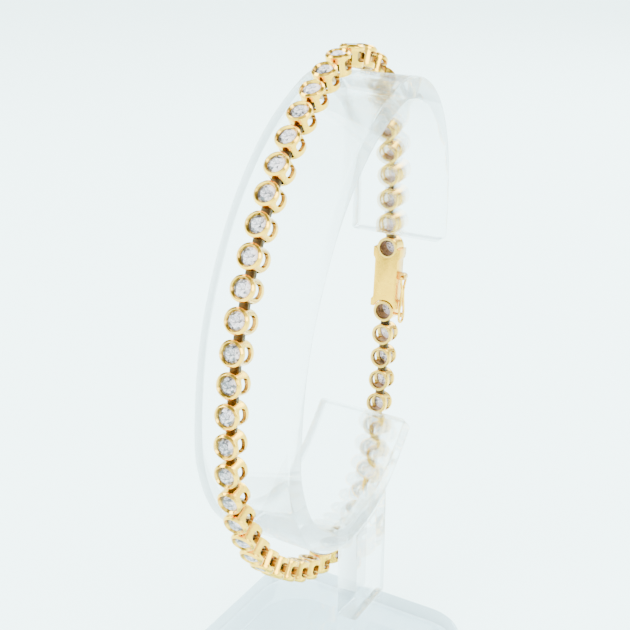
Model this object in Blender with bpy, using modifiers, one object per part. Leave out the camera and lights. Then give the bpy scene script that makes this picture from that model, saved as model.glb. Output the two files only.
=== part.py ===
"""Bezel set tennis bracelet, fastened round a clear display band on its stand.

Metres, +Z up.  The chain is one closed loop: collets with a stone fused in each,
hinged to each other by a tongue and a pin, and a box clasp with a safety catch.
It hangs over a C shaped band of clear plastic that a flat stem carries above a
rounded base.  The origin is the middle of the bounding box, on the table.
"""

import math

import bpy
import bmesh
from mathutils import Matrix, Vector

MM = 0.001

# Chain
LINK_COUNT = 47                 # at least; a larger loop gets more
LINK_PITCH = 3.75 * MM          # from one hinge pin to the next
COLLET_SIDES = 10
BORE_SIDES = 8

# Collet, measured from its inner face (z = 0) outwards
COLLET_HEIGHT = 2.9 * MM
COLLET_RADIUS = 1.665 * MM      # at the bezel
FOOT_RADIUS = 1.627 * MM         # at the inner face
RIM_RADIUS = 1.40 * MM          # crest of the bezel
RIM_DROP = 0.26 * MM            # from the crest to the outer edge of the bezel
BORE_RADIUS = 1.14 * MM         # open bore under the stone
WINDOW_LENGTH = 1.9 * MM
WINDOW_FOOT = 0.7 * MM         # ring of metal below a window
WINDOW_HEIGHT = 1.46 * MM

# Stone
STONE_EDGE_RADIUS = 1.12 * MM   # where the bezel closes on the crown
STONE_EDGE_DROP = 0.30 * MM
TABLE_RADIUS = 0.66 * MM
TABLE_DROP = 0.03 * MM          # table below the crest of the bezel
GIRDLE_DROP = 0.45 * MM
PAVILION_DEPTH = 0.95 * MM

# Hinge between two links
PIN_SETBACK = 1.15 * MM         # pin behind the middle of its collet
PIN_HEIGHT = 1.19 * MM
PIN_RADIUS = 0.17 * MM
PIN_SIDES = 5
EYE_STEPS = 3                   # facets round the end of a tongue
HINGE_PLAY = 0.11 * MM          # round the pin, inside the eye
EYE_WALL = 0.18 * MM
TONGUE_WIDTH = 1.3 * MM
TONGUE_PLAY = 0.13 * MM         # on each side of the tongue, in its slot
NECK_HEIGHT = 0.65 * MM
SLOT_FOOT = 0.5 * MM           # bridge of metal below the slot

# Box clasp, along the chain from the middle of its first collet
CLASP_STEP = 3.2 * MM           # between two soldered collets
CLASP_GAP = 0.12 * MM           # between the box's last collet and the tongue's
BOX_WIDTH = 3.66 * MM
BOX_HEIGHT = 2.4 * MM
BOX_PLATE_WALL = 0.55 * MM      # under and over the tongue's slot
EAR_REACH = 0.34 * MM           # how far an ear stands out from the box
EAR_LENGTH = 1.5 * MM
FRONT_EAR_BACK = 0.65 * MM      # front ears end this far before the last collet
BLADE_WIDTH = 2.0 * MM
BLADE_HEIGHT = 0.6 * MM
BLADE_LENGTH = 4.4 * MM         # inside the box
BLADE_PLAY = 0.15 * MM
BLADE_HOLD = 0.35 * MM          # blade past the wall of its collet
END_HOLD = 0.04 * MM            # box past the middle of its first collet's wall

# Safety catch at the side of the clasp
CATCH_WIRE_RADIUS = 0.19 * MM
CATCH_LENGTH = 7.2 * MM
CATCH_LOOP_WIDTH = 1.75 * MM    # between the wires, middle to middle
CATCH_WAIST_WIDTH = 0.60 * MM
CATCH_SIDE_GAP = 0.15 * MM      # from the ears to the wire
CATCH_BEND = 0.35 * MM          # at the corners beside the hinge
KNUCKLE_PLACE = 4.2 * MM        # along the clasp
KNUCKLE_LENGTH = 1.1 * MM
KNUCKLE_RADIUS = 0.5 * MM
KNUCKLE_PLAY = 0.12 * MM
STUD_PLACE = 0.4 * MM           # beyond the middle of the last collet
STUD_RADIUS = 0.22 * MM
STUD_BALL_RADIUS = 0.4 * MM

# Display band: a strip bent to a C that leans back, open behind
BAND_DEPTH = 43.3 * MM
BAND_HEIGHT = 60.1 * MM
BAND_WIDTH = 14.0 * MM
BAND_WALL = 3.0 * MM
BAND_CORNER = 1.5 * MM
# Outer face, from the lower end round the front and over the top to the upper end
BAND_FACE = (
    # depth share, height share
    (0.772, 0.158),
    (0.634, 0.062),
    (0.490, 0.012),
    (0.330, 0.000),
    (0.190, 0.032),
    (0.080, 0.108),
    (0.018, 0.206),
    (0.000, 0.314),
    (0.040, 0.508),
    (0.130, 0.670),
    (0.250, 0.804),
    (0.410, 0.916),
    (0.610, 0.994),
    (0.740, 1.000),
    (0.850, 0.968),
    (0.930, 0.905),
    (0.982, 0.810),
    (1.000, 0.700),
    (0.996, 0.588),
)
BAND_STEPS = 2                  # facets between two rows of the table

# Stem and base
STEM_WALL = 3.0 * MM
STEM_DEPTH = 8.6 * MM
STEM_PLACE = 17.3 * MM          # near edge of the stem behind the band's front
BASE_WIDTH = 32.0 * MM
BASE_DEPTH = 35.4 * MM
BASE_HEIGHT = 6.0 * MM
BASE_CORNER = 6.5 * MM
BASE_EDGE = 0.5 * MM
GLUE_GAP = 0.15 * MM            # between stem, band and base

# How the chain hangs
SEAT_GAP = 0.36 * MM            # from the band's outer face to the links
CHAIN_CLEAR = 4.50 * MM         # lowest hinge pin of the chain above the base
CHAIN_SHIFT = -0.25 * MM         # middle of the chain's front from the band's middle
CHAIN_YAW = math.radians(3.3)  # the loop hangs askew, its back towards -X
FIRST_SEAT_ROW = 5              # rows of BAND_FACE that the chain lies on
LAST_SEAT_ROW = 15
# Pins of the free stretch, as shares of the band's depth and height from its
# front edge and lowest point
CHAIN_HANG = (
    # depth share, height share
    (1.04100, 0.75331),
    (1.04300, 0.67053),
    (1.04000, 0.59603),
    (1.02982, 0.48013),
    (1.01147, 0.35596),
    (0.98624, 0.19040),
    (0.94725, 0.06457),
    (0.88303, -0.04305),
    (0.78670, -0.10927),
    (0.66055, -0.14238),
    (0.51376, -0.14238),
    (0.35780, -0.10596),
    (0.20642, -0.03974),
    (0.08716, 0.04305),
)
DEEPEST_HANG = min(high for _, high in CHAIN_HANG)
CLASP_START = 0.137             # share of the loop from its highest seat to the clasp

GOLD = ((0.83, 0.63, 0.30, 1.0), 0.18, 1.0, 0.0)
CLEAR = ((0.90, 0.95, 0.96, 1.0), 0.05, 0.0, 0.85)

CLASP_REACH = 2.0 * CLASP_STEP + 2.0 * COLLET_RADIUS + CLASP_GAP
EYE_RADIUS = PIN_RADIUS + HINGE_PLAY + EYE_WALL
CATCH_PLANE = BOX_WIDTH / 2.0 + EAR_REACH + CATCH_SIDE_GAP + CATCH_WIRE_RADIUS
# The stem's far edge is flush with the base's
BASE_FRONT = BASE_DEPTH - STEM_PLACE - STEM_DEPTH


def clear_scene():
    """Remove every object of the scene the script is run in."""
    for item in list(bpy.data.objects):
        bpy.data.objects.remove(item, do_unlink=True)


def new_collection(name):
    """Make a collection and link it to the scene."""
    group = bpy.data.collections.new(name)
    bpy.context.scene.collection.children.link(group)
    return group


def new_material(name, look):
    """Make a Principled material from a colour, roughness, metal and clearness."""
    colour, roughness, metallic, clearness = look
    material = bpy.data.materials.new(name)
    material.use_nodes = True
    shader = material.node_tree.nodes["Principled BSDF"]
    shader.inputs["Base Color"].default_value = colour
    shader.inputs["Roughness"].default_value = roughness
    shader.inputs["Metallic"].default_value = metallic
    shader.inputs["Transmission Weight"].default_value = clearness
    return material


def new_object(name, mesh, group):
    """Link a mesh to a collection as a named object."""
    item = bpy.data.objects.new(name, mesh)
    group.objects.link(item)
    return item


def from_bmesh(name, shape, group):
    """Turn a bmesh into an object and free it."""
    mesh = bpy.data.meshes.new(name)
    shape.to_mesh(mesh)
    shape.free()
    return new_object(name, mesh, group)


def turned(name, profile, sides, group):
    """Turn a profile of (radius, height) about Z; it runs down its outer side."""
    shape = bmesh.new()
    rows = [shape.verts.new((0.0, radius, height)) for radius, height in profile]
    for upper, lower in zip(rows, rows[1:]):
        shape.edges.new((upper, lower))
    item = from_bmesh(name, shape, group)
    screw = item.modifiers.new("turn", "SCREW")
    screw.steps = sides
    screw.render_steps = sides
    screw.use_merge_vertices = True
    screw.merge_threshold = 0.000001
    return item


def block(name, low, high, group):
    """Make a box between two corners."""
    shape = bmesh.new()
    size = [b - a for a, b in zip(low, high)]
    middle = [(a + b) / 2.0 for a, b in zip(low, high)]
    bmesh.ops.create_cube(
        shape, size=1.0, matrix=Matrix.Translation(middle) @ Matrix.Diagonal((*size, 1.0))
    )
    return from_bmesh(name, shape, group)


def rod(name, start, end, radius, sides, group):
    """Make a closed round bar between two points."""
    axis = Vector(end) - Vector(start)
    turn = axis.to_track_quat("Z", "X").to_matrix().to_4x4()
    shape = bmesh.new()
    bmesh.ops.create_cone(
        shape,
        cap_ends=True,
        segments=sides,
        radius1=radius,
        radius2=radius,
        depth=axis.length,
        matrix=Matrix.Translation((Vector(start) + Vector(end)) / 2.0) @ turn,
    )
    return from_bmesh(name, shape, group)


def plate(name, outline, low, high, axis, group):
    """Extrude a closed outline along X or Z between two heights."""
    shape = bmesh.new()
    if axis == "X":
        corners = [shape.verts.new((low, u, v)) for u, v in outline]
        step = Vector((high - low, 0.0, 0.0))
    else:
        corners = [shape.verts.new((u, v, low)) for u, v in outline]
        step = Vector((0.0, 0.0, high - low))
    face = shape.faces.new(corners)
    result = bmesh.ops.extrude_face_region(shape, geom=[face])
    moved = [part for part in result["geom"] if isinstance(part, bmesh.types.BMVert)]
    bmesh.ops.translate(shape, vec=step, verts=moved)
    bmesh.ops.recalc_face_normals(shape, faces=shape.faces)
    return from_bmesh(name, shape, group)


def combine(item, other, operation):
    """Cut or join an object with another through a Boolean modifier."""
    modifier = item.modifiers.new(other.name, "BOOLEAN")
    modifier.operation = operation
    modifier.solver = "EXACT"
    modifier.object = other
    other.hide_render = True
    other.display_type = "WIRE"


def baked_mesh(item, name):
    """Return the evaluated mesh of an object, with flat joints cleaned up."""
    bpy.context.view_layer.update()
    graph = bpy.context.evaluated_depsgraph_get()
    mesh = bpy.data.meshes.new_from_object(item.evaluated_get(graph))
    mesh.name = name
    shape = bmesh.new()
    shape.from_mesh(mesh)
    bmesh.ops.remove_doubles(shape, verts=shape.verts, dist=0.000002)
    bmesh.ops.dissolve_limit(
        shape, angle_limit=math.radians(0.3), verts=shape.verts, edges=shape.edges
    )
    bmesh.ops.triangulate(shape, faces=shape.faces)
    shape.to_mesh(mesh)
    shape.free()
    return mesh


def collet_profile(foot):
    """Profile of a collet and its stone, down to a closed foot at a height."""
    top = COLLET_HEIGHT
    share = foot / top
    wall = FOOT_RADIUS + (COLLET_RADIUS - FOOT_RADIUS) * share
    return (
        (0.0, top - TABLE_DROP),
        (TABLE_RADIUS, top - TABLE_DROP),
        (STONE_EDGE_RADIUS, top - STONE_EDGE_DROP),
        (RIM_RADIUS, top),
        (COLLET_RADIUS, top - RIM_DROP),
        (wall, foot),
        (0.0, foot),
    )


def bore_cutter(name, group):
    """Space under the stone: a bore whose top is dented by the pavilion."""
    girdle = COLLET_HEIGHT - GIRDLE_DROP
    profile = (
        (0.0, girdle - PAVILION_DEPTH),
        (BORE_RADIUS, girdle),
        (BORE_RADIUS, -COLLET_HEIGHT),
        (0.0, -COLLET_HEIGHT),
    )
    return turned(name, profile, BORE_SIDES, group)


def window_cutters(name, group):
    """Two openings in the sides of a collet, under the bezel."""
    reach = 2.0 * COLLET_RADIUS
    half = WINDOW_LENGTH / 2.0
    top = WINDOW_FOOT + WINDOW_HEIGHT
    inner = BORE_RADIUS * 0.85
    return [
        block(name + "_a", (inner, -half, WINDOW_FOOT), (reach, half, top), group),
        block(name + "_b", (-reach, -half, WINDOW_FOOT), (-inner, half, top), group),
    ]


def slot_cutter(name, group):
    """Slot at the back of a collet for the tongue of the link before it."""
    half = TONGUE_WIDTH / 2.0 + TONGUE_PLAY
    top = PIN_HEIGHT + EYE_RADIUS + TONGUE_PLAY
    front = -(PIN_SETBACK - EYE_RADIUS - TONGUE_PLAY)
    low = (-half, -2.0 * COLLET_RADIUS, SLOT_FOOT)
    return block(name, low, (half, front, top), group)


def hinge_pin(name, group):
    """Pin across the slot, its ends in the metal on both sides."""
    half = TONGUE_WIDTH / 2.0 + TONGUE_PLAY + PIN_RADIUS * 0.7
    place = (-PIN_SETBACK, PIN_HEIGHT)
    return rod(name, (-half, *place), (half, *place), PIN_RADIUS, PIN_SIDES, group)


def tongue(name, middle, group, cutters):
    """Tongue at the front of a collet, with an eye for the next link's pin."""
    eye = middle + LINK_PITCH - PIN_SETBACK
    root = middle + (BORE_RADIUS + FOOT_RADIUS) / 2.0
    half = NECK_HEIGHT / 2.0
    start = math.asin(half / EYE_RADIUS)
    outline = [(root, PIN_HEIGHT + half)]
    for step in range(EYE_STEPS + 1):
        angle = math.pi - start - (2.0 * math.pi - 2.0 * start) * step / EYE_STEPS
        outline.append(
            (eye + EYE_RADIUS * math.cos(angle), PIN_HEIGHT + EYE_RADIUS * math.sin(angle))
        )
    outline.append((root, PIN_HEIGHT - half))
    width = TONGUE_WIDTH / 2.0
    item = plate(name, outline, -width, width, "X", group)
    hole = rod(
        name + "_hole",
        (-2.0 * width, eye, PIN_HEIGHT),
        (2.0 * width, eye, PIN_HEIGHT),
        PIN_RADIUS + HINGE_PLAY,
        PIN_SIDES,
        cutters,
    )
    combine(item, hole, "DIFFERENCE")
    return item


def shift(items, distance):
    """Move objects along the chain."""
    for item in items:
        item.location.y += distance


def link_mesh(cutters):
    """One link: collet, stone, hinge pin and tongue in one body."""
    item = turned("collet", collet_profile(0.0), COLLET_SIDES, cutters)
    combine(item, bore_cutter("collet_bore", cutters), "DIFFERENCE")
    for window in window_cutters("collet_window", cutters):
        combine(item, window, "DIFFERENCE")
    combine(item, slot_cutter("collet_slot", cutters), "DIFFERENCE")
    combine(item, hinge_pin("collet_pin", cutters), "UNION")
    combine(item, tongue("collet_tongue", 0.0, cutters, cutters), "UNION")
    return baked_mesh(item, "link")


def arc(middle, radius, start, end, steps):
    """Points of an arc, both ends included, angles in degrees."""
    points = []
    for step in range(steps + 1):
        angle = math.radians(start + (end - start) * step / steps)
        points.append(
            (middle[0] + radius * math.cos(angle), middle[1] + radius * math.sin(angle))
        )
    return points


def box_outline():
    """Outline of the clasp box: hollow ends with an ear at each corner."""
    wide = BOX_WIDTH / 2.0
    ear = wide + EAR_REACH
    last = CLASP_REACH - FRONT_EAR_BACK
    room = COLLET_RADIUS + CLASP_GAP
    lean = math.degrees(math.asin(FRONT_EAR_BACK / room))
    right = [
        (ear, 0.0),
        (ear, EAR_LENGTH),
        (wide, EAR_LENGTH + EAR_REACH),
        (wide, last - EAR_LENGTH),
        (ear, last - EAR_LENGTH + EAR_REACH),
        (ear, last),
    ]
    left = [(-x, y) for x, y in reversed(right)]
    front = arc((0.0, CLASP_REACH), room, -lean, lean - 180.0, 4)
    hold = (BORE_RADIUS + FOOT_RADIUS) / 2.0 + END_HOLD
    back = arc((0.0, 0.0), hold, 180.0, 0.0, 4)
    return right + front + left + back


def clasp_box(name, group, cutters):
    """Box of the clasp: first collet, two closed collets and the knuckle."""
    item = plate("box_body", box_outline(), 0.0, BOX_HEIGHT, "Z", cutters)
    for number in (1, 2):
        cup = turned("cup_%d" % number, collet_profile(BOX_HEIGHT / 2.0), COLLET_SIDES, cutters)
        shift([cup], CLASP_STEP * number)
        combine(item, cup, "UNION")
    first = turned("first_collet", collet_profile(0.0), COLLET_SIDES, cutters)
    combine(item, first, "UNION")
    combine(item, bore_cutter("first_bore", cutters), "DIFFERENCE")
    combine(item, slot_cutter("first_slot", cutters), "DIFFERENCE")
    combine(item, hinge_pin("first_pin", cutters), "UNION")
    wide = BLADE_WIDTH / 2.0 + BLADE_PLAY
    low = BOX_PLATE_WALL
    high = BOX_PLATE_WALL + BLADE_HEIGHT + 2.0 * BLADE_PLAY
    start = CLASP_REACH - COLLET_RADIUS - BLADE_LENGTH - BLADE_PLAY
    room = block("blade_room", (-wide, start, low), (wide, CLASP_REACH, high), cutters)
    combine(item, room, "DIFFERENCE")
    add_knuckle(item, cutters)
    return new_object(name, baked_mesh(item, name), group)


def add_knuckle(item, cutters):
    """Short tube at the side of the box that carries the safety catch."""
    middle = BOX_HEIGHT / 2.0
    low = middle - KNUCKLE_LENGTH / 2.0
    high = middle + KNUCKLE_LENGTH / 2.0
    inner = BOX_WIDTH / 2.0 - KNUCKLE_RADIUS / 2.0
    web = block(
        "knuckle_web",
        (inner, KNUCKLE_PLACE - KNUCKLE_RADIUS, low),
        (CATCH_PLANE, KNUCKLE_PLACE + KNUCKLE_RADIUS, high),
        cutters,
    )
    combine(item, web, "UNION")
    place = (CATCH_PLANE, KNUCKLE_PLACE)
    tube = rod("knuckle_tube", (*place, low), (*place, high), KNUCKLE_RADIUS, 8, cutters)
    combine(item, tube, "UNION")
    bore = rod(
        "knuckle_bore",
        (*place, low - BOX_HEIGHT),
        (*place, high + BOX_HEIGHT),
        CATCH_WIRE_RADIUS + KNUCKLE_PLAY,
        8,
        cutters,
    )
    combine(item, bore, "DIFFERENCE")


def clasp_tongue(name, group, cutters):
    """Tongue of the clasp: its collet, the blade, the stud and the next hinge."""
    item = turned("last_collet", collet_profile(0.0), COLLET_SIDES, cutters)
    combine(item, bore_cutter("last_bore", cutters), "DIFFERENCE")
    combine(item, tongue("last_tongue", 0.0, cutters, cutters), "UNION")
    wide = BLADE_WIDTH / 2.0
    low = BOX_PLATE_WALL + BLADE_PLAY
    root = -(BORE_RADIUS + FOOT_RADIUS) / 2.0
    tip = -(COLLET_RADIUS + BLADE_LENGTH)
    blade = block(
        "blade", (-wide, tip, low), (wide, root + BLADE_HOLD, low + BLADE_HEIGHT), cutters
    )
    combine(item, blade, "UNION")
    combine(item, bore_cutter("last_clear", cutters), "DIFFERENCE")
    height = BOX_HEIGHT / 2.0
    start = (BORE_RADIUS + FOOT_RADIUS) / 2.0
    stud = rod(
        "stud",
        (start, STUD_PLACE, height),
        (CATCH_PLANE, STUD_PLACE, height),
        STUD_RADIUS,
        6,
        cutters,
    )
    combine(item, stud, "UNION")
    shape = bmesh.new()
    bmesh.ops.create_uvsphere(
        shape,
        u_segments=6,
        v_segments=4,
        radius=STUD_BALL_RADIUS,
        matrix=Matrix.Translation((CATCH_PLANE, STUD_PLACE, height))
        @ Matrix.Rotation(math.radians(90.0), 4, "Y"),
    )
    combine(item, from_bmesh("stud_ball", shape, cutters), "UNION")
    solid = new_object(name, baked_mesh(item, name), group)
    solid.location.y = CLASP_REACH
    return solid


def catch_route():
    """Closed wire route of the safety catch, about its hinge wire along Z."""
    hinge = KNUCKLE_LENGTH / 2.0 + CATCH_SIDE_GAP + CATCH_WIRE_RADIUS
    waist = CATCH_WAIST_WIDTH / 2.0
    loop = CATCH_LOOP_WIDTH / 2.0
    bend = CATCH_BEND
    middle = CATCH_LENGTH * 0.32
    centre = CATCH_LENGTH - loop * 1.15
    upper = [
        (0.0, 0.0),
        (0.0, hinge - bend),
        (bend * 0.3, hinge - bend * 0.3),
        (bend, hinge),
    ]
    steps = 2
    for step in range(1, steps + 1):
        share = step / steps
        ease = (1.0 - math.cos(math.pi * share)) / 2.0
        upper.append((bend + (middle - bend) * share, hinge + (waist - hinge) * ease))
    for step in range(1, steps + 1):
        share = step / steps
        ease = (1.0 - math.cos(math.pi * share)) / 2.0
        upper.append((middle + (centre - middle) * share, waist + (loop - waist) * ease))
    end = CATCH_LENGTH - centre
    for step in range(1, 4):
        angle = math.radians(90.0 * step / 3.0)
        upper.append((centre + end * math.sin(angle), loop * math.cos(angle)))
    lower = [(along, -across) for along, across in reversed(upper[1:-1])]
    return upper + lower


def safety_catch(name, group):
    """Figure of eight wire, hinged in the knuckle and looped over the stud."""
    data = bpy.data.curves.new(name + "_wire", "CURVE")
    data.dimensions = "3D"
    data.bevel_depth = CATCH_WIRE_RADIUS
    data.bevel_resolution = 1
    points = catch_route()
    spline = data.splines.new("POLY")
    spline.points.add(len(points) - 1)
    for point, (along, across) in zip(spline.points, points):
        point.co = (0.0, along, across, 1.0)
    spline.use_cyclic_u = True
    wire = bpy.data.objects.new(name + "_wire", data)
    group.objects.link(wire)
    mesh = baked_mesh(wire, name)
    bpy.data.objects.remove(wire, do_unlink=True)
    return new_object(name, mesh, group)


def band_point(row):
    """Point of the band's outer face in its own plane, from its table."""
    deep, high = BAND_FACE[row]
    return Vector((deep * BAND_DEPTH, high * BAND_HEIGHT))


def smooth(points, steps, closed=False):
    """Points of a smooth curve through the given ones."""
    count = len(points)
    result = []
    spans = count if closed else count - 1
    for span in range(spans):
        near = []
        for offset in (-1, 0, 1, 2):
            index = span + offset
            index = index % count if closed else min(max(index, 0), count - 1)
            near.append(points[index])
        before, start, end, after = near
        for step in range(steps):
            t = step / steps
            result.append(
                0.5 * (
                    2.0 * start
                    + (end - before) * t
                    + (2.0 * before - 5.0 * start + 4.0 * end - after) * t * t
                    + (3.0 * start - before - 3.0 * end + after) * t * t * t
                )
            )
    if not closed:
        result.append(points[-1].copy())
    return result


def band_face():
    """Outer face of the band from its lower end to its upper end."""
    return smooth([band_point(row) for row in range(len(BAND_FACE))], BAND_STEPS)


def display_band(name, foot, group):
    """The C shaped strip of clear plastic, its four end corners rounded."""
    shape = bmesh.new()
    rows = []
    for deep, high in band_face():
        left = shape.verts.new((-BAND_WIDTH / 2.0, deep, high))
        right = shape.verts.new((BAND_WIDTH / 2.0, deep, high))
        rows.append((left, right))
    for low, high in zip(rows, rows[1:]):
        shape.faces.new((low[0], low[1], high[1], high[0]))
    corners = [*rows[0], *rows[-1]]
    bmesh.ops.bevel(
        shape, geom=corners, affect="VERTICES", offset=BAND_CORNER, segments=1, profile=0.5
    )
    item = from_bmesh(name, shape, group)
    wall = item.modifiers.new("wall", "SOLIDIFY")
    wall.thickness = BAND_WALL
    wall.offset = -1.0
    wall.use_even_offset = True
    item.location.z = foot
    return item


def stem_outline(foot):
    """Side outline of the stem; its top follows the underside of the band."""
    near = STEM_PLACE
    far = STEM_PLACE + STEM_DEPTH
    low = BASE_HEIGHT + GLUE_GAP
    face = band_face()
    top = []
    steps = 5
    for step in range(steps + 1):
        deep = far + (near - far) * step / steps
        heights = []
        for first, second in zip(face, face[1:]):
            if first.y < BAND_HEIGHT / 2.0 and second.x <= deep <= first.x:
                share = (deep - second.x) / (first.x - second.x)
                heights.append(second.y + (first.y - second.y) * share)
        top.append((deep, foot + min(heights) - GLUE_GAP))
    return [(near, low), (far, low)] + top


def display_stem(name, foot, group):
    """Flat stem at the band's +X edge, between the band and the base."""
    high = BAND_WIDTH / 2.0
    return plate(name, stem_outline(foot), high - STEM_WALL, high, "X", group)


def display_base(name, group):
    """Rounded block of clear plastic under the stem."""
    shape = bmesh.new()
    middle = Vector((BAND_WIDTH / 2.0 - STEM_WALL / 2.0, BASE_DEPTH / 2.0 - BASE_FRONT, 0.0))
    size = Matrix.Diagonal((BASE_WIDTH, BASE_DEPTH, BASE_HEIGHT, 1.0))
    bmesh.ops.create_cube(shape, size=1.0, matrix=size)
    upright = [
        edge for edge in shape.edges
        if abs(edge.verts[0].co.z - edge.verts[1].co.z) > BASE_HEIGHT / 2.0
    ]
    bmesh.ops.bevel(
        shape, geom=upright, affect="EDGES", offset=BASE_CORNER, segments=3, profile=0.5
    )
    item = from_bmesh(name, shape, group)
    item.location = middle + Vector((0.0, 0.0, BASE_HEIGHT / 2.0))
    edge = item.modifiers.new("edge", "BEVEL")
    edge.width = BASE_EDGE
    edge.segments = 1
    edge.limit_method = "ANGLE"
    edge.angle_limit = math.radians(60.0)
    return item


def seat_points():
    """Pins of the stretch that lies on the band, a link's seat off its face."""
    face = band_face()
    points = []
    for row in range(FIRST_SEAT_ROW, LAST_SEAT_ROW + 1):
        index = row * BAND_STEPS
        before = face[index] - face[index - BAND_STEPS]
        after = face[index + BAND_STEPS] - face[index]
        bend = abs(before.angle_signed(after)) * 2.0 / (before.length + after.length)
        # A straight link dips towards the rounded face
        rise = PIN_HEIGHT + SEAT_GAP + LINK_PITCH ** 2 * bend / 8.0
        along = (face[index + 1] - face[index - 1]).normalized()
        points.append(face[index] + Vector((-along.y, along.x)) * rise)
    return points


def loop_curve(sag):
    """Closed curve of the hinge pins; sag deepens the free bottom stretch."""
    points = seat_points()
    for deep, high in CHAIN_HANG:
        low = max(0.0, high / DEEPEST_HANG)
        points.append(Vector((deep * BAND_DEPTH, high * BAND_HEIGHT - sag * low)))
    return smooth(points, 24, closed=True)


def walk(curve, lengths, start):
    """Step round a closed curve by straight chords; return pins and what is left."""
    count = len(curve)
    index = start
    here = curve[start].copy()
    pins = [here]
    travelled = 0.0
    place = 0.0
    for length in lengths:
        while True:
            ahead = curve[(index + 1) % count]
            if (ahead - here).length >= length:
                break
            index += 1
            travelled += 1.0
        first = curve[index % count]
        way = ahead - first
        gap = first - here
        a = way.dot(way)
        b = 2.0 * gap.dot(way)
        c = gap.dot(gap) - length * length
        place = (-b + math.sqrt(max(b * b - 4.0 * a * c, 0.0))) / (2.0 * a)
        here = first + way * place
        pins.append(here)
    return pins, index - start + place - count


def link_count():
    """Number of links: the bracelet's own, or more where the loop needs them."""
    curve = loop_curve(0.0)
    around = sum((b - a).length for a, b in zip(curve, curve[1:] + curve[:1]))
    return max(LINK_COUNT, round((around - CLASP_REACH - LINK_PITCH) / LINK_PITCH))


def hanging_pins():
    """Hinge pins of the closed loop; the sag is set so that it closes."""
    clasp = CLASP_REACH + LINK_PITCH
    lengths = [clasp] + [LINK_PITCH] * link_count()
    low, high = -3.0 * LINK_PITCH, 6.0 * LINK_PITCH
    for _ in range(48):
        sag = (low + high) / 2.0
        curve = loop_curve(sag)
        start = clasp_start(curve)
        left = walk(curve, lengths, start)[1]
        if left > 0.0:
            low = sag
        else:
            high = sag
    return walk(curve, lengths, start)[0][:-1]


def band_foot(pins):
    """Height of the band's lowest point, so that the chain clears the base."""
    return BASE_HEIGHT + CHAIN_CLEAR - min(pin.y for pin in pins)


def clasp_start(curve):
    """Index on the curve where the clasp begins, below the band's upper end."""
    count = len(curve)
    seats = (LAST_SEAT_ROW - FIRST_SEAT_ROW) * 24
    return int(seats + CLASP_START * count) % count


def chain_frame(start, end, foot):
    """Place of a piece from its pin towards the next pin."""
    side = CHAIN_SHIFT
    across = Vector((math.cos(CHAIN_YAW), math.sin(CHAIN_YAW), 0.0))
    back = Vector((-math.sin(CHAIN_YAW), math.cos(CHAIN_YAW), 0.0))
    up = Vector((0.0, 0.0, 1.0))
    place = across * side + back * start.x + up * (start.y + foot)
    along2 = (end - start).normalized()
    along = (back * along2.x + up * along2.y).normalized()
    outward = (back * -along2.y + up * along2.x).normalized()
    width = along.cross(outward)
    frame = Matrix((width, along, outward)).transposed().to_4x4()
    frame.translation = place
    return frame @ Matrix.Translation((0.0, PIN_SETBACK, -PIN_HEIGHT))


def dress(item, look, parent):
    """Give a piece its own material, smooth shading and its parent."""
    item.data.materials.clear()
    item.data.materials.append(new_material(item.name, look))
    item.data.shade_smooth()
    item.data.set_sharp_from_angle(angle=math.radians(25.0))
    item.parent = parent


def build():
    """Build the bracelet, its clasp and the stand."""
    clear_scene()
    group = new_collection("tennis_bracelet_on_display_stand")
    cutters = new_collection("cutters")
    cutters.hide_render = True
    root = bpy.data.objects.new("stand_origin", None)
    group.objects.link(root)

    pins = hanging_pins()
    foot = band_foot(pins)
    dress(display_base("display_base", group), CLEAR, root)
    dress(display_stem("display_stem", foot, group), CLEAR, root)
    dress(display_band("display_band", foot, group), CLEAR, root)

    count = len(pins)
    frames = [chain_frame(pins[i], pins[(i + 1) % count], foot) for i in range(count)]
    clasp = bpy.data.objects.new("clasp_place", None)
    group.objects.link(clasp)
    clasp.parent = root
    clasp.matrix_local = frames[0]

    box = clasp_box("clasp_box", group, cutters)
    last = clasp_tongue("clasp_tongue", group, cutters)
    catch = safety_catch("safety_catch", group)
    catch.location = (CATCH_PLANE, KNUCKLE_PLACE, BOX_HEIGHT / 2.0)
    for item in (box, last, catch):
        dress(item, GOLD, clasp)

    mesh = link_mesh(cutters)
    for number in range(1, count):
        item = new_object("link_%02d" % number, mesh.copy(), group)
        dress(item, GOLD, root)
        item.matrix_local = frames[number]
    centre_on_table(root, group)


def centre_on_table(root, group):
    """Move everything so that the origin is the middle of the box, on the table."""
    bpy.context.view_layer.update()
    graph = bpy.context.evaluated_depsgraph_get()
    corners = []
    for item in group.objects:
        if item.type == "MESH":
            solid = item.evaluated_get(graph)
            corners += [solid.matrix_world @ vert.co for vert in solid.data.vertices]
    low = [min(corner[axis] for corner in corners) for axis in range(3)]
    high = [max(corner[axis] for corner in corners) for axis in range(3)]
    root.location = (-(low[0] + high[0]) / 2.0, -(low[1] + high[1]) / 2.0, -low[2])
    bpy.context.view_layer.update()


build()
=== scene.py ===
"""Looks of a bezel set tennis bracelet that hangs fastened on a clear display stand.

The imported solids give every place.  Each link of the chain is rebuilt as a turned
collet with a wavy, hand closed bezel, open sides, a hinge and a brilliant cut stone.
The clasp, its safety catch and the clear stand are rebuilt in the same way.
Lengths are metres, +Z is up and the object stands on the floor at z = 0.
"""

import enum
import logging
import math
import random
from collections.abc import Sequence
from dataclasses import dataclass, field

import bmesh
import bpy
from mathutils import Matrix, Vector


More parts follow.
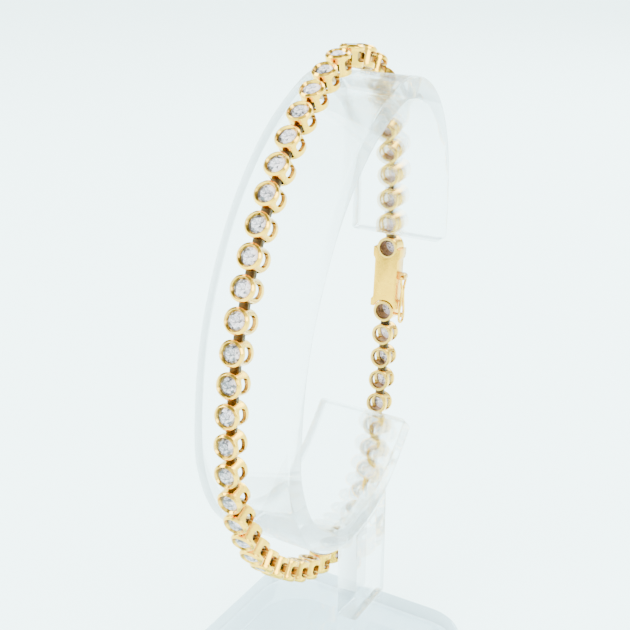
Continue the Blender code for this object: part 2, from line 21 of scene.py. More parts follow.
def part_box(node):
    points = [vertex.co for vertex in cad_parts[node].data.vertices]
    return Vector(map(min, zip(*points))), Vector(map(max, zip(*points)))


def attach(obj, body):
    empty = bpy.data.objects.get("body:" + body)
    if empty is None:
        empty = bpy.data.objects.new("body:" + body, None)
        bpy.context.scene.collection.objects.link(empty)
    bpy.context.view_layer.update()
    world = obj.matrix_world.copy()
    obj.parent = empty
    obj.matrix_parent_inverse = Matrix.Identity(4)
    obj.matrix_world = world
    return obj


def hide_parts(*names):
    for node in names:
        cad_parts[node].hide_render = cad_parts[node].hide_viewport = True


MM = 0.001
BRACELET = "bracelet_and_stand"
CATCH = "safety_catch"

log = logging.getLogger("bracelet")
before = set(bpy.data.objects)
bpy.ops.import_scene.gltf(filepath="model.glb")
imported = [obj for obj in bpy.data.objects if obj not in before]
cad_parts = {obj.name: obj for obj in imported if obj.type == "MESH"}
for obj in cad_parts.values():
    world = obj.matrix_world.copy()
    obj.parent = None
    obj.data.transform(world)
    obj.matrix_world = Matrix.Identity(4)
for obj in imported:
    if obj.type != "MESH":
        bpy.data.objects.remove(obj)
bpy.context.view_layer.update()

Point = tuple[float, float]
Point3 = tuple[float, float, float]


class Slot(enum.Enum):
    """Material slots of the record."""

    GOLD = "yellow_gold"
    CLEAR = "clear_acrylic"


class Domain(enum.Enum):
    """Where a value is stored on a mesh."""

    POINT = "POINT"
    FACE = "FACE"


# Shader groups


class NodeSheet:
    """Shorthand for laying out the nodes of one tree."""

    def __init__(self, tree: bpy.types.NodeTree) -> None:
        """Keep the tree.

        Args:
            tree: Node tree of a material, a world or a group.
        """
        self.tree = tree

    def add(self, kind: str, **settings: object) -> bpy.types.Node:
        """Add a node.

        Args:
            kind: Node type without its ShaderNode prefix.
            settings: Properties to set on the node.

        Returns:
            The new node.
        """
        prefix = "" if kind.startswith("Node") else "ShaderNode"
        node = self.tree.nodes.new(prefix + kind)
        for name, value in settings.items():
            setattr(node, name, value)
        return node

    def join(self, source: bpy.types.NodeSocket, target: bpy.types.NodeSocket) -> None:
        """Link an output to an input."""
        self.tree.links.new(source, target)

    def maths(self, operation: str, first: object, second: object) -> bpy.types.NodeSocket:
        """Add a Math node on two sockets or numbers.

        Args:
            operation: Name of the operation.
            first: Socket or number.
            second: Socket or number.

        Returns:
            The result's socket.
        """
        node = self.add("Math", operation=operation)
        for value, place in zip((first, second), node.inputs):
            if isinstance(value, bpy.types.NodeSocket):
                self.join(value, place)
            else:
                place.default_value = value
        return node.outputs[0]

    def noise(
        self, where: bpy.types.NodeSocket, scale: object, detail: float, stretch: float = 0.0
    ) -> bpy.types.NodeSocket:
        """Add a noise texture.

        Args:
            where: Coordinates.
            scale: Number or socket.
            detail: Octaves.
            stretch: Distortion.

        Returns:
            The noise value's socket.
        """
        node = self.add("TexNoise")
        self.join(where, node.inputs["Vector"])
        if isinstance(scale, bpy.types.NodeSocket):
            self.join(scale, node.inputs["Scale"])
        else:
            node.inputs["Scale"].default_value = scale
        node.inputs["Detail"].default_value = detail
        node.inputs["Distortion"].default_value = stretch
        return node.outputs["Fac"]

    def between(
        self, value: bpy.types.NodeSocket, low: float, high: float, start: object, end: object
    ) -> bpy.types.NodeSocket:
        """Map a value from one range to another, held at both ends.

        Args:
            value: What is mapped.
            low: Value that gives start.
            high: Value that gives end.
            start: Number or socket at the low end.
            end: Number or socket at the high end.

        Returns:
            The mapped value's socket.
        """
        node = self.add("MapRange")
        self.join(value, node.inputs["Value"])
        node.inputs["From Min"].default_value = low
        node.inputs["From Max"].default_value = high
        for name, side in (("To Min", start), ("To Max", end)):
            if isinstance(side, bpy.types.NodeSocket):
                self.join(side, node.inputs[name])
            else:
                node.inputs[name].default_value = side
        return node.outputs["Result"]

    def blend(
        self, share: bpy.types.NodeSocket, first: object, second: object
    ) -> bpy.types.NodeSocket:
        """Mix two colours.

        Args:
            share: Share of the second colour.
            first: Colour or socket.
            second: Colour or socket.

        Returns:
            The mixed colour's socket.
        """
        node = self.add("Mix", data_type="RGBA")
        self.join(share, node.inputs[0])
        for value, place in ((first, node.inputs[6]), (second, node.inputs[7])):
            if isinstance(value, bpy.types.NodeSocket):
                self.join(value, place)
            else:
                place.default_value = value
        return node.outputs[2]


@dataclass(frozen=True)
class GroupSocket:
    """One input or output of a shader node group."""

    name: str
    kind: str
    value: float | tuple[float, float, float, float] | None = None


class ShaderGroups:
    """Node groups that several materials share, each built once."""

    def __init__(self) -> None:
        """Start with no group."""
        self.made: dict[str, bpy.types.NodeTree] = {}

    def start(
        self, name: str, inputs: Sequence[GroupSocket], outputs: Sequence[GroupSocket]
    ) -> tuple[NodeSheet, bpy.types.Node, bpy.types.Node]:
        """Make an empty group with its sockets.

        Args:
            name: Name of the group.
            inputs: Inputs with their start values.
            outputs: Outputs.

        Returns:
            The sheet of the group, its input node and its output node.
        """
        tree = bpy.data.node_groups.new(name, "ShaderNodeTree")
        for socket in inputs:
            made = tree.interface.new_socket(
                name=socket.name, in_out="INPUT", socket_type="NodeSocket" + socket.kind
            )
            if socket.value is not None:
                made.default_value = socket.value
        for socket in outputs:
            tree.interface.new_socket(
                name=socket.name, in_out="OUTPUT", socket_type="NodeSocket" + socket.kind
            )
        sheet = NodeSheet(tree)
        self.made[name] = tree
        return sheet, sheet.add("NodeGroupInput"), sheet.add("NodeGroupOutput")

    def handling(self) -> bpy.types.NodeTree:
        """Fine scratches and smudges of a surface that has been handled.

        Returns:
            The group, with outputs Smudge and Relief.
        """
        if "handling_marks" in self.made:
            return self.made["handling_marks"]
        sheet, given, result = self.start(
            "handling_marks",
            (
                GroupSocket("Mark Scale", "Float", 900.0),
                GroupSocket("Smudge Scale", "Float", 160.0),
                GroupSocket("Scratch Depth", "Float", 0.5),
            ),
            (GroupSocket("Smudge", "Float"), GroupSocket("Relief", "Float")),
        )
        place = sheet.add("TexCoord").outputs["Object"]
        smudge = sheet.noise(place, given.outputs["Smudge Scale"], 3.0, 0.6)
        squeeze = sheet.add("Mapping")
        squeeze.inputs["Rotation"].default_value = (0.6, 0.3, 0.9)
        squeeze.inputs["Scale"].default_value = (1.0, 9.0, 2.0)
        sheet.join(place, squeeze.inputs["Vector"])
        streak = sheet.noise(squeeze.outputs[0], given.outputs["Mark Scale"], 2.0)
        fine = sheet.maths("MULTIPLY", streak, given.outputs["Scratch Depth"])
        dent = sheet.noise(place, given.outputs["Mark Scale"], 1.0)
        sheet.join(sheet.between(smudge, 0.35, 0.7, 0.0, 1.0), result.inputs["Smudge"])
        sheet.join(sheet.maths("ADD", fine, dent), result.inputs["Relief"])
        return self.made["handling_marks"]

    def painted_shade(self) -> bpy.types.NodeTree:
        """Painted shade: colour that deepens where a mesh holds painted shade.

        Returns:
            The group, with outputs Color and Depth.
        """
        if "painted_shade_tone" in self.made:
            return self.made["painted_shade_tone"]
        sheet, given, result = self.start(
            "painted_shade_tone",
            (
                GroupSocket("Open Colour", "Color", (1.0, 1.0, 1.0, 1.0)),
                GroupSocket("Worn Colour", "Color", (1.0, 1.0, 1.0, 1.0)),
                GroupSocket("Deep Colour", "Color", (0.5, 0.5, 0.5, 1.0)),
                GroupSocket("Patch Scale", "Float", 300.0),
            ),
            (GroupSocket("Color", "Color"), GroupSocket("Depth", "Float")),
        )
        place = sheet.add("TexCoord").outputs["Object"]
        # The mesh's painted shade value darkens the colour towards the deep colour.
        mask = sheet.add("Attribute", attribute_name="painted_shade").outputs["Fac"]
        patch = sheet.noise(place, given.outputs["Patch Scale"], 4.0, 0.4)
        skin = sheet.blend(
            sheet.between(patch, 0.35, 0.68, 0.0, 1.0),
            given.outputs["Open Colour"],
            given.outputs["Worn Colour"],
        )
        ragged = sheet.maths("MULTIPLY", sheet.maths("SUBTRACT", patch, 0.5), 0.5)
        depth = sheet.between(sheet.maths("ADD", mask, ragged), 0.1, 0.9, 0.0, 1.0)
        sheet.join(sheet.blend(depth, skin, given.outputs["Deep Colour"]), result.inputs["Color"])
        sheet.join(depth, result.inputs["Depth"])
        return self.made["painted_shade_tone"]


GROUPS = ShaderGroups()


def place_group(sheet: NodeSheet, tree: bpy.types.NodeTree, **values: object) -> bpy.types.Node:
    """Put a group in a material with its own values.

    Args:
        sheet: Sheet of the material.
        tree: The group.
        values: Input values, their names with underscores for spaces.

    Returns:
        The group's node.
    """
    node = sheet.add("Group", node_tree=tree)
    for name, value in values.items():
        node.inputs[name.replace("_", " ")].default_value = value
    return node


def new_material(name: str) -> tuple[bpy.types.Material, NodeSheet, bpy.types.Node]:
    """Make a material with its Principled shader.

    Args:
        name: Name of the material.

    Returns:
        The material, its sheet and its shader.
    """
    material = bpy.data.materials.new(name)
    material.use_nodes = True
    sheet = NodeSheet(material.node_tree)
    return material, sheet, material.node_tree.nodes["Principled BSDF"]


# Finishes


@dataclass(frozen=True)
class GoldFinish:
    """Yellow gold, from bright polished bezels to a dark copy for the hinge parts that stands for
    painted shade.
    """

    name: str
    bright: tuple[float, float, float, float]
    worn: tuple[float, float, float, float]
    # Colour of painted shade, where the mesh marks shade.
    deep: tuple[float, float, float, float]
    smooth: float
    dull: float
    relief: float

    def make(self) -> bpy.types.Material:
        """Build the material.

        Returns:
            The gold.
        """
        material, sheet, shader = new_material(self.name)
        # Painted shade: the deep colour where the mesh marks shade, over worn patches at random.
        tone = place_group(
            sheet,
            GROUPS.painted_shade(),
            Open_Colour=self.bright,
            Worn_Colour=self.worn,
            Deep_Colour=self.deep,
            Patch_Scale=420.0,
        )
        marks = place_group(
            sheet,
            GROUPS.handling(),
            Mark_Scale=2600.0,
            Smudge_Scale=520.0,
            Scratch_Depth=0.6,
        )
        sheet.join(tone.outputs["Color"], shader.inputs["Base Color"])
        rough = sheet.between(marks.outputs["Smudge"], 0.0, 1.0, self.smooth, self.dull)
        extra = sheet.maths("MULTIPLY", tone.outputs["Depth"], 0.12)
        sheet.join(sheet.maths("ADD", rough, extra), shader.inputs["Roughness"])
        bump = sheet.add("Bump")
        bump.inputs["Strength"].default_value = self.relief
        bump.inputs["Distance"].default_value = 0.00003
        sheet.join(marks.outputs["Relief"], bump.inputs["Height"])
        sheet.join(bump.outputs["Normal"], shader.inputs["Normal"])
        shader.inputs["Metallic"].default_value = 1.0
        return material


@dataclass(frozen=True)
class StoneFinish:
    """Near white brilliant; its facets carry painted reflections and painted shade, and it glows
    with painted light.
    """

    name: str = "white_brilliant"
    # Colours of the lightest and the darkest painted facet.
    light: tuple[float, float, float, float] = (0.60, 0.52, 0.515, 1.0)
    shade: tuple[float, float, float, float] = (0.035, 0.034, 0.036, 1.0)
    index: float = 1.7
    painted_glow: float = 1.4

    def make(self) -> bpy.types.Material:
        """Build the material.

        Returns:
            The stone.
        """
        material, sheet, shader = new_material(self.name)
        # Painted reflections and shade: the facet tones, with a noise of painted sparkle.
        facet = sheet.add("Attribute", attribute_name="facet").outputs["Fac"]
        place = sheet.add("TexCoord").outputs["Object"]
        cloud = sheet.noise(place, 900.0, 2.0)
        painted_sparkle = sheet.between(sheet.noise(place, 2600.0, 2.0, 0.8), 0.32, 0.68, -0.35, 0.35)
        share = sheet.between(sheet.maths("ADD", facet, painted_sparkle), 0.15, 0.85, 0.0, 1.0)
        tint = sheet.blend(
            sheet.between(cloud, 0.4, 0.6, 0.0, 1.0),
            (0.93, 0.95, 1.0, 1.0),
            (1.0, 0.955, 0.95, 1.0),
        )
        product = sheet.add("Mix", data_type="RGBA", blend_type="MULTIPLY")
        product.inputs[0].default_value = 1.0
        sheet.join(sheet.blend(share, self.shade, self.light), product.inputs[6])
        sheet.join(tint, product.inputs[7])
        sheet.join(product.outputs[2], shader.inputs["Base Color"])
        # Painted light: the stone emits its own facet colour, as if lit through.
        sheet.join(product.outputs[2], shader.inputs["Emission Color"])
        shader.inputs["Emission Strength"].default_value = self.painted_glow
        shader.inputs["Roughness"].default_value = 0.015
        shader.inputs["IOR"].default_value = self.index
        shader.inputs["Transmission Weight"].default_value = 0.15
        return material


@dataclass(frozen=True)
class AcrylicFinish:
    """Clear cast acrylic with faint haze and fine scratches."""

    name: str
    light: tuple[float, float, float, float]
    haze: tuple[float, float, float, float]
    straight: tuple[float, float, float, float] = (0.96, 0.975, 0.98, 1.0)
    index: float = 1.28
    clear_share: float = 0.48
    relief: float = 0.02

    def make(self) -> bpy.types.Material:
        """Build the material; lamps shine through it.

        Returns:
            The acrylic.
        """
        material, sheet, shader = new_material(self.name)
        marks = place_group(
            sheet,
            GROUPS.handling(),
            Mark_Scale=700.0,
            Smudge_Scale=70.0,
            Scratch_Depth=0.8,
        )
        colour = sheet.blend(marks.outputs["Smudge"], self.light, self.haze)
        sheet.join(colour, shader.inputs["Base Color"])
        rough = sheet.between(marks.outputs["Smudge"], 0.0, 1.0, 0.0, 0.03)
        sheet.join(rough, shader.inputs["Roughness"])
        bump = sheet.add("Bump")
        bump.inputs["Strength"].default_value = self.relief
        bump.inputs["Distance"].default_value = 0.00002
        sheet.join(marks.outputs["Relief"], bump.inputs["Height"])
        sheet.join(bump.outputs["Normal"], shader.inputs["Normal"])
        shader.inputs["IOR"].default_value = self.index
        shader.inputs["Transmission Weight"].default_value = 1.0
        clear = sheet.add("BsdfTransparent")
        clear.inputs["Color"].default_value = self.straight
        either = sheet.add("MixShader")
        path = sheet.add("LightPath")
        lit = path.outputs["Is Shadow Ray"]
        share = sheet.between(lit, 0.0, 1.0, self.clear_share, 1.0)
        sheet.join(share, either.inputs[0])
        sheet.join(shader.outputs[0], either.inputs[1])
        sheet.join(clear.outputs[0], either.inputs[2])
        output = material.node_tree.nodes["Material Output"]
        sheet.join(either.outputs[0], output.inputs["Surface"])
        return material


@dataclass(frozen=True)
class PaperFinish:
    """Pale studio paper under the stand."""

    name: str = "studio_paper"
    light: tuple[float, float, float, float] = (0.87, 0.925, 0.922, 1.0)
    shade: tuple[float, float, float, float] = (0.86, 0.917, 0.915, 1.0)

    def make(self) -> bpy.types.Material:
        """Build the material.

        Returns:
            The paper.
        """
        material, sheet, shader = new_material(self.name)
        place = sheet.add("TexCoord").outputs["Object"]
        fibre = sheet.noise(place, 60.0, 4.0)
        sheet.join(sheet.blend(fibre, self.light, self.shade), shader.inputs["Base Color"])
        shader.inputs["Roughness"].default_value = 0.9
        shader.inputs["Specular IOR Level"].default_value = 0.1
        return material


@dataclass
class Finishes:
    """Every material of the scene, made once."""

    bezel: bpy.types.Material = field(init=False)
    hinge: bpy.types.Material = field(init=False)
    plate: bpy.types.Material = field(init=False)
    stone: bpy.types.Material = field(init=False)
    band: bpy.types.Material = field(init=False)
    block: bpy.types.Material = field(init=False)
    paper: bpy.types.Material = field(init=False)

    def __post_init__(self) -> None:
        """Build the materials."""
        self.bezel = GoldFinish(
            name="polished_yellow_gold",
            bright=(0.96, 0.53, 0.043, 1.0),
            worn=(0.85, 0.44, 0.03, 1.0),
            deep=(0.38, 0.225, 0.07, 1.0),
            smooth=0.09,
            dull=0.20,
            relief=0.22,
        ).make()
        # Painted shade: a dark copy of the gold for the hinge parts that sit in the slots.
        self.hinge = GoldFinish(
            name="painted_shade_hinge_gold",
            bright=(0.19, 0.12, 0.045, 1.0),
            worn=(0.09, 0.055, 0.022, 1.0),
            deep=(0.035, 0.021, 0.011, 1.0),
            smooth=0.26,
            dull=0.42,
            relief=0.5,
        ).make()
        self.plate = GoldFinish(
            name="rolled_clasp_gold",
            bright=(0.84, 0.44, 0.026, 1.0),
            worn=(0.72, 0.355, 0.018, 1.0),
            deep=(0.60, 0.40, 0.17, 1.0),
            smooth=0.20,
            dull=0.34,
            relief=0.4,
        ).make()
        self.stone = StoneFinish().make()
        self.band = AcrylicFinish(
            "clear_band_acrylic",
            (0.96, 0.975, 0.975, 1.0),
            (0.935, 0.955, 0.96, 1.0),
            index=1.21,
            clear_share=0.42,
        ).make()
        self.block = AcrylicFinish(
            "clear_block_acrylic",
            (0.76, 0.82, 0.87, 1.0),
            (0.71, 0.78, 0.84, 1.0),
            (0.90, 0.935, 0.955, 1.0),
            index=1.45,
            clear_share=0.32,
        ).make()
        self.paper = PaperFinish().make()


# Mesh helpers


class Workshop:
    """Mesh steps that the sub-assemblies share."""

    @staticmethod
    def piece(name: str, mesh: bpy.types.Mesh) -> bpy.types.Object:
        """Link a mesh to the scene as an object.

        Args:
            name: Name of the object.
            mesh: Its mesh.

        Returns:
            The new object.
        """
        item = bpy.data.objects.new(name, mesh)
        bpy.context.scene.collection.objects.link(item)
        return item

    @staticmethod
    def mesh(name: str, shape: bmesh.types.BMesh) -> bpy.types.Mesh:
        """Turn a bmesh into a mesh and free it.

        Args:
            name: Name of the mesh.
            shape: The bmesh, which is gone afterwards.

        Returns:
            The new mesh.
        """
        mesh = bpy.data.meshes.new(name)
        shape.to_mesh(mesh)
        shape.free()
        return mesh

    @staticmethod
    def lathe(
        name: str, profile: Sequence[Point], sides: int, closed: bool = True
    ) -> bpy.types.Mesh:
        """Turn a profile of radius and height about Z.

        Args:
            name: Name of the mesh.
            profile: Rows of the profile, anticlockwise; a radius of 0 is a pole.
            sides: Steps round the axis.
            closed: Whether the profile's ends meet.

        Returns:
            The turned mesh.
        """
        shape = bmesh.new()
        rings: list[list[bmesh.types.BMVert]] = []
        for radius, height in profile:
            if radius == 0.0:
                rings.append([shape.verts.new((0.0, 0.0, height))])
                continue
            ring = []
            for step in range(sides):
                angle = 2.0 * math.pi * step / sides
                ring.append(
                    shape.verts.new(
                        (radius * math.cos(angle), radius * math.sin(angle), height)
                    )
                )
            rings.append(ring)
        pairs = list(zip(rings, rings[1:]))
        if closed:
            pairs.append((rings[-1], rings[0]))
        for low, high in pairs:
            for step in range(sides):
                after = (step + 1) % sides
                corners = [low[step % len(low)], low[after % len(low)]]
                corners += [high[after % len(high)], high[step % len(high)]]
                shape.faces.new(list(dict.fromkeys(corners)))
        bmesh.ops.recalc_face_normals(shape, faces=shape.faces)
        return Workshop.mesh(name, shape)

    @staticmethod
    def slab(
        name: str,
        outline: Sequence[Point],
        low: float,
        high: float,
        axis: str,
        edge: float = 0.0,
        steps: int = 2,
    ) -> bpy.types.Mesh:
        """Extrude a closed outline and round its rims.

        Args:
            name: Name of the mesh.
            outline: Corners of the outline.
            low: Start of the extrusion.
            high: End of the extrusion.
            axis: X or Z, the way it is extruded.
            edge: Width of the rounding, none if 0.
            steps: Facets of the rounding.

        Returns:
            The slab's mesh.
        """
        shape = bmesh.new()
        if axis == "X":
            corners = [shape.verts.new((low, u, v)) for u, v in outline]
            way = Vector((high - low, 0.0, 0.0))
        else:
            corners = [shape.verts.new((u, v, low)) for u, v in outline]
            way = Vector((0.0, 0.0, high - low))
        face = shape.faces.new(corners)
        result = bmesh.ops.extrude_face_region(shape, geom=[face])
        moved = [part for part in result["geom"] if isinstance(part, bmesh.types.BMVert)]
        bmesh.ops.translate(shape, vec=way, verts=moved)
        bmesh.ops.recalc_face_normals(shape, faces=shape.faces)
        if edge:
            straight = way.normalized()
            rims = []
            for line in shape.edges:
                run = (line.verts[1].co - line.verts[0].co).normalized()
                if abs(run.dot(straight)) < 0.5:
                    rims.append(line)
            bmesh.ops.bevel(
                shape,
                geom=rims,
                affect="EDGES",
                offset=edge,
                segments=steps,
                profile=0.5,
                clamp_overlap=True,
            )
        return Workshop.mesh(name, shape)

    @staticmethod
    def rod(name: str, start: Vector, end: Vector, radius: float, sides: int) -> bpy.types.Mesh:
        """Round bar with slightly rounded ends.

        Args:
            name: Name of the mesh.
            start: Middle of one end.
            end: Middle of the other end.
            radius: Radius of the bar.
            sides: Facets round it.

        Returns:
            The bar's mesh.
        """
        long = (end - start).length
        soft = min(radius * 0.3, long * 0.2)
        profile = [
            (0.0, 0.0),
            (radius - soft, 0.0),
            (radius - soft * 0.3, soft * 0.3),
            (radius, soft),
            (radius, long - soft),
            (radius - soft * 0.3, long - soft * 0.3),
            (radius - soft, long),
            (0.0, long),
        ]
        mesh = Workshop.lathe(name, profile, sides, closed=False)
        turn = (end - start).to_track_quat("Z", "X").to_matrix().to_4x4()
        mesh.transform(Matrix.Translation(start) @ turn)
        return mesh

    @staticmethod
    def block(name: str, low: Point3, high: Point3) -> bpy.types.Mesh:
        """Box between two corners, for cutting.

        Args:
            name: Name of the mesh.
            low: Its lowest corner.
            high: Its highest corner.

        Returns:
            The box's mesh.
        """
        shape = bmesh.new()
        size = [b - a for a, b in zip(low, high)]
        middle = [(a + b) / 2.0 for a, b in zip(low, high)]
        bmesh.ops.create_cube(
            shape, size=1.0, matrix=Matrix.Translation(middle) @ Matrix.Diagonal((*size, 1.0))
        )
        return Workshop.mesh(name, shape)

    @staticmethod
    def carve(
        name: str,
        body: bpy.types.Mesh,
        cuts: Sequence[bpy.types.Mesh],
        joins: Sequence[bpy.types.Mesh] = (),
    ) -> bpy.types.Mesh:
        """Cut meshes from a body, then join others to it.

        Args:
            name: Name of the result.
            body: Mesh that is worked on.
            cuts: Meshes to cut away.
            joins: Meshes to add.

        Returns:
            The finished mesh.
        """
        item = Workshop.piece(name + "_work", body)
        tools = []
        for operation, meshes in (("DIFFERENCE", cuts), ("UNION", joins)):
            for mesh in meshes:
                tool = Workshop.piece(mesh.name, mesh)
                tools.append(tool)
                step = item.modifiers.new(mesh.name, "BOOLEAN")
                step.operation = operation
                step.solver = "EXACT"
                step.object = tool
        bpy.context.view_layer.update()
        graph = bpy.context.evaluated_depsgraph_get()
        result = bpy.data.meshes.new_from_object(item.evaluated_get(graph))
        result.name = name
        for tool in [*tools, item]:
            bpy.data.objects.remove(tool, do_unlink=True)
        return result

    @staticmethod
    def store(mesh: bpy.types.Mesh, name: str, values: Sequence[float], domain: Domain) -> None:
        """Keep one value for each point or face of a mesh.

        Args:
            mesh: The mesh.
            name: Name that a material reads.
            values: The values.
            domain: Points or faces.
        """
        layer = mesh.attributes.get(name) or mesh.attributes.new(name, "FLOAT", domain.value)
        layer.data.foreach_set("value", values)

    @staticmethod
    def soften(mesh: bpy.types.Mesh, angle: float) -> None:
        """Shade smooth, with edges sharper than an angle in degrees kept."""
        mesh.shade_smooth()
        mesh.set_sharp_from_angle(angle=math.radians(angle))

    @staticmethod
    def dress(
        item: bpy.types.Object, materials: Sequence[bpy.types.Material], body: str, slot: Slot
    ) -> bpy.types.Object:
        """Give a piece its materials and its body.

        Args:
            item: The piece.
            materials: Materials in the order of the mesh's slots.
            body: CAD body that it moves with.
            slot: Slot of the record that it takes its finish from; not used.

        Returns:
            The same piece.
        """
        if list(item.data.materials) != list(materials):
            item.data.materials.clear()
            for material in materials:
                item.data.materials.append(material)
        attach(item, body)
        return item


# The route


@dataclass
class StandShape:
    """Sizes of the clear stand and the side curve of its band."""

    band_depth: float = 43.3 * MM
    band_height: float = 60.1 * MM
    band_width: float = 14.0 * MM
    band_wall: float = 3.0 * MM
    band_corner: float = 1.5 * MM
    stem_wall: float = 3.0 * MM
    stem_depth: float = 8.6 * MM
    stem_place: float = 17.3 * MM
    base_height: float = 6.0 * MM
    base_corner: float = 6.5 * MM
    base_edge: float = 0.5 * MM
    glue_gap: float = 0.15 * MM
    face_rows: tuple[Point, ...] = (
        (0.772, 0.158),
        (0.634, 0.062),
        (0.490, 0.012),
        (0.330, 0.000),
        (0.190, 0.032),
        (0.080, 0.108),
        (0.018, 0.206),
        (0.000, 0.314),
        (0.040, 0.508),
        (0.130, 0.670),
        (0.250, 0.804),
        (0.410, 0.916),
        (0.610, 0.994),
        (0.740, 1.000),
        (0.850, 0.968),
        (0.930, 0.905),
        (0.982, 0.810),
        (1.000, 0.700),
        (0.996, 0.588),
    )

    def face(self, steps: int) -> list[Vector]:
        """Outer face of the band in its own plane.

        Args:
            steps: Points from one row of the table to the next.

        Returns:
            Points from the lower end to the upper end.
        """
        rows = [
            Vector((deep * self.band_depth, high * self.band_height))
            for deep, high in self.face_rows
        ]
        return smooth_curve(rows, steps, closed=False)


def smooth_curve(points: Sequence[Vector], steps: int, closed: bool) -> list[Vector]:
    """Smooth curve through points.

    Args:
        points: Points that it passes through.
        steps: Points for each span.
        closed: Whether it closes on itself.

    Returns:
        The curve's points.
    """
    count = len(points)
    result = []
    for span in range(count if closed else count - 1):
        near = []
        for offset in (-1, 0, 1, 2):
            index = span + offset
            near.append(points[index % count if closed else min(max(index, 0), count - 1)])
        before, start, end, after = near
        for step in range(steps):
            t = step / steps
            result.append(
                0.5
                * (
                    2.0 * start
                    + (end - before) * t
                    + (2.0 * before - 5.0 * start + 4.0 * end - after) * t * t
                    + (3.0 * start - before - 3.0 * end + after) * t * t * t
                )
            )
    if not closed:
        result.append(points[-1].copy())
    return result


@dataclass
class ChainRoute:
    """Where the hinge pins of the closed chain hang."""

    stand: StandShape
    pitch: float = 3.75 * MM
    count: int = 47
    clasp_reach: float = 9.85 * MM
    pin_setback: float = 1.15 * MM
    pin_height: float = 1.19 * MM
    seat_gap: float = 0.36 * MM
    chain_clear: float = 4.50 * MM
    chain_shift: float = -0.25 * MM
    yaw: float = math.radians(3.3)
    first_seat: int = 5
    last_seat: int = 15
    clasp_share: float = 0.137
    hang: tuple[Point, ...] = (
        (1.04100, 0.75331),
        (1.04300, 0.67053),
        (1.04000, 0.59603),
        (1.02982, 0.48013),
        (1.01147, 0.35596),
        (0.98624, 0.19040),
        (0.94725, 0.06457),
        (0.88303, -0.04305),
        (0.78670, -0.10927),
        (0.66055, -0.14238),
        (0.51376, -0.14238),
        (0.35780, -0.10596),
        (0.20642, -0.03974),
        (0.08716, 0.04305),
    )
    pins: list[Vector] = field(init=False)
    foot: float = field(init=False)
    origin: Vector = field(init=False)

    def __post_init__(self) -> None:
        """Find the pins and where the band's own plane lies in the frame."""
        self.pins = self.hanging_pins()
        self.foot = self.stand.base_height + self.chain_clear - min(pin.y for pin in self.pins)
        low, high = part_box("display_band")
        self.origin = Vector(((low.x + high.x) / 2.0, low.y, 0.0))

    def loop(self, sag: float) -> list[Vector]:
        """Closed curve of the pins.

        Args:
            sag: How much deeper the free bottom stretch hangs.

        Returns:
            The curve's points.
        """
        face = self.stand.face(2)
        points = []
        for row in range(self.first_seat, self.last_seat + 1):
            index = row * 2
            along = (face[index + 1] - face[index - 1]).normalized()
            before = face[index] - face[index - 2]
            after = face[index + 2] - face[index]
            bend = abs(before.angle_signed(after)) * 2.0 / (before.length + after.length)
            rise = self.pin_height + self.seat_gap + self.pitch**2 * bend / 8.0
            points.append(face[index] + Vector((-along.y, along.x)) * rise)
        deepest = min(high for _, high in self.hang)
        for deep, high in self.hang:
            low = max(0.0, high / deepest)
            points.append(
                Vector((deep * self.stand.band_depth, high * self.stand.band_height - sag * low))
            )
        return smooth_curve(points, 24, closed=True)

    def walk(
        self, curve: Sequence[Vector], lengths: Sequence[float], start: int
    ) -> tuple[list[Vector], float]:
        """Step round the curve by straight chords.

        Args:
            curve: Closed curve.
            lengths: Chord lengths.
            start: Index of the first pin.

        Returns:
            The pins, and how far the last one lies past the first.
        """
        count = len(curve)
        index = start
        here = curve[start].copy()
        pins = [here]
        place = 0.0
        for length in lengths:
            while True:
                ahead = curve[(index + 1) % count]
                if (ahead - here).length >= length:
                    break
                index += 1
            first = curve[index % count]
            way = ahead - first
            gap = first - here
            a = way.dot(way)
            b = 2.0 * gap.dot(way)
            c = gap.dot(gap) - length * length
            place = (-b + math.sqrt(max(b * b - 4.0 * a * c, 0.0))) / (2.0 * a)
            here = first + way * place
            pins.append(here)
        return pins, index - start + place - count

    def hanging_pins(self) -> list[Vector]:
        """Pins of the closed chain.

        Returns:
            The clasp's pin first, then each link's.
        """
        lengths = [self.clasp_reach + self.pitch] + [self.pitch] * self.count
        low, high = -3.0 * self.pitch, 6.0 * self.pitch
        curve: list[Vector] = []
        start = 0
        for _ in range(48):
            sag = (low + high) / 2.0
            curve = self.loop(sag)
            seats = (self.last_seat - self.first_seat) * 24
            start = int(seats + self.clasp_share * len(curve)) % len(curve)
            if self.walk(curve, lengths, start)[1] > 0.0:
                low = sag
            else:
                high = sag
        return self.walk(curve, lengths, start)[0][:-1]

    def place(self, number: int) -> Matrix:
        """Frame of one piece of the chain.

        Args:
            number: 0 for the clasp, else the link's number.

        Returns:
            Matrix with X across, Y along the chain and Z away from the wrist.
        """
        start = self.pins[number]
        end = self.pins[(number + 1) % len(self.pins)]
        across = Vector((math.cos(self.yaw), math.sin(self.yaw), 0.0))
        back = Vector((-math.sin(self.yaw), math.cos(self.yaw), 0.0))
        up = Vector((0.0, 0.0, 1.0))
        flat = (end - start).normalized()
        along = (back * flat.x + up * flat.y).normalized()
        outward = (back * -flat.y + up * flat.x).normalized()
        matrix = Matrix((along.cross(outward), along, outward)).transposed().to_4x4()
        matrix.translation = (
            self.origin
            + across * self.chain_shift
            + back * start.x
            + up * (start.y + self.foot)
        )
        return matrix @ Matrix.Translation((0.0, self.pin_setback, -self.pin_height))


# The chain


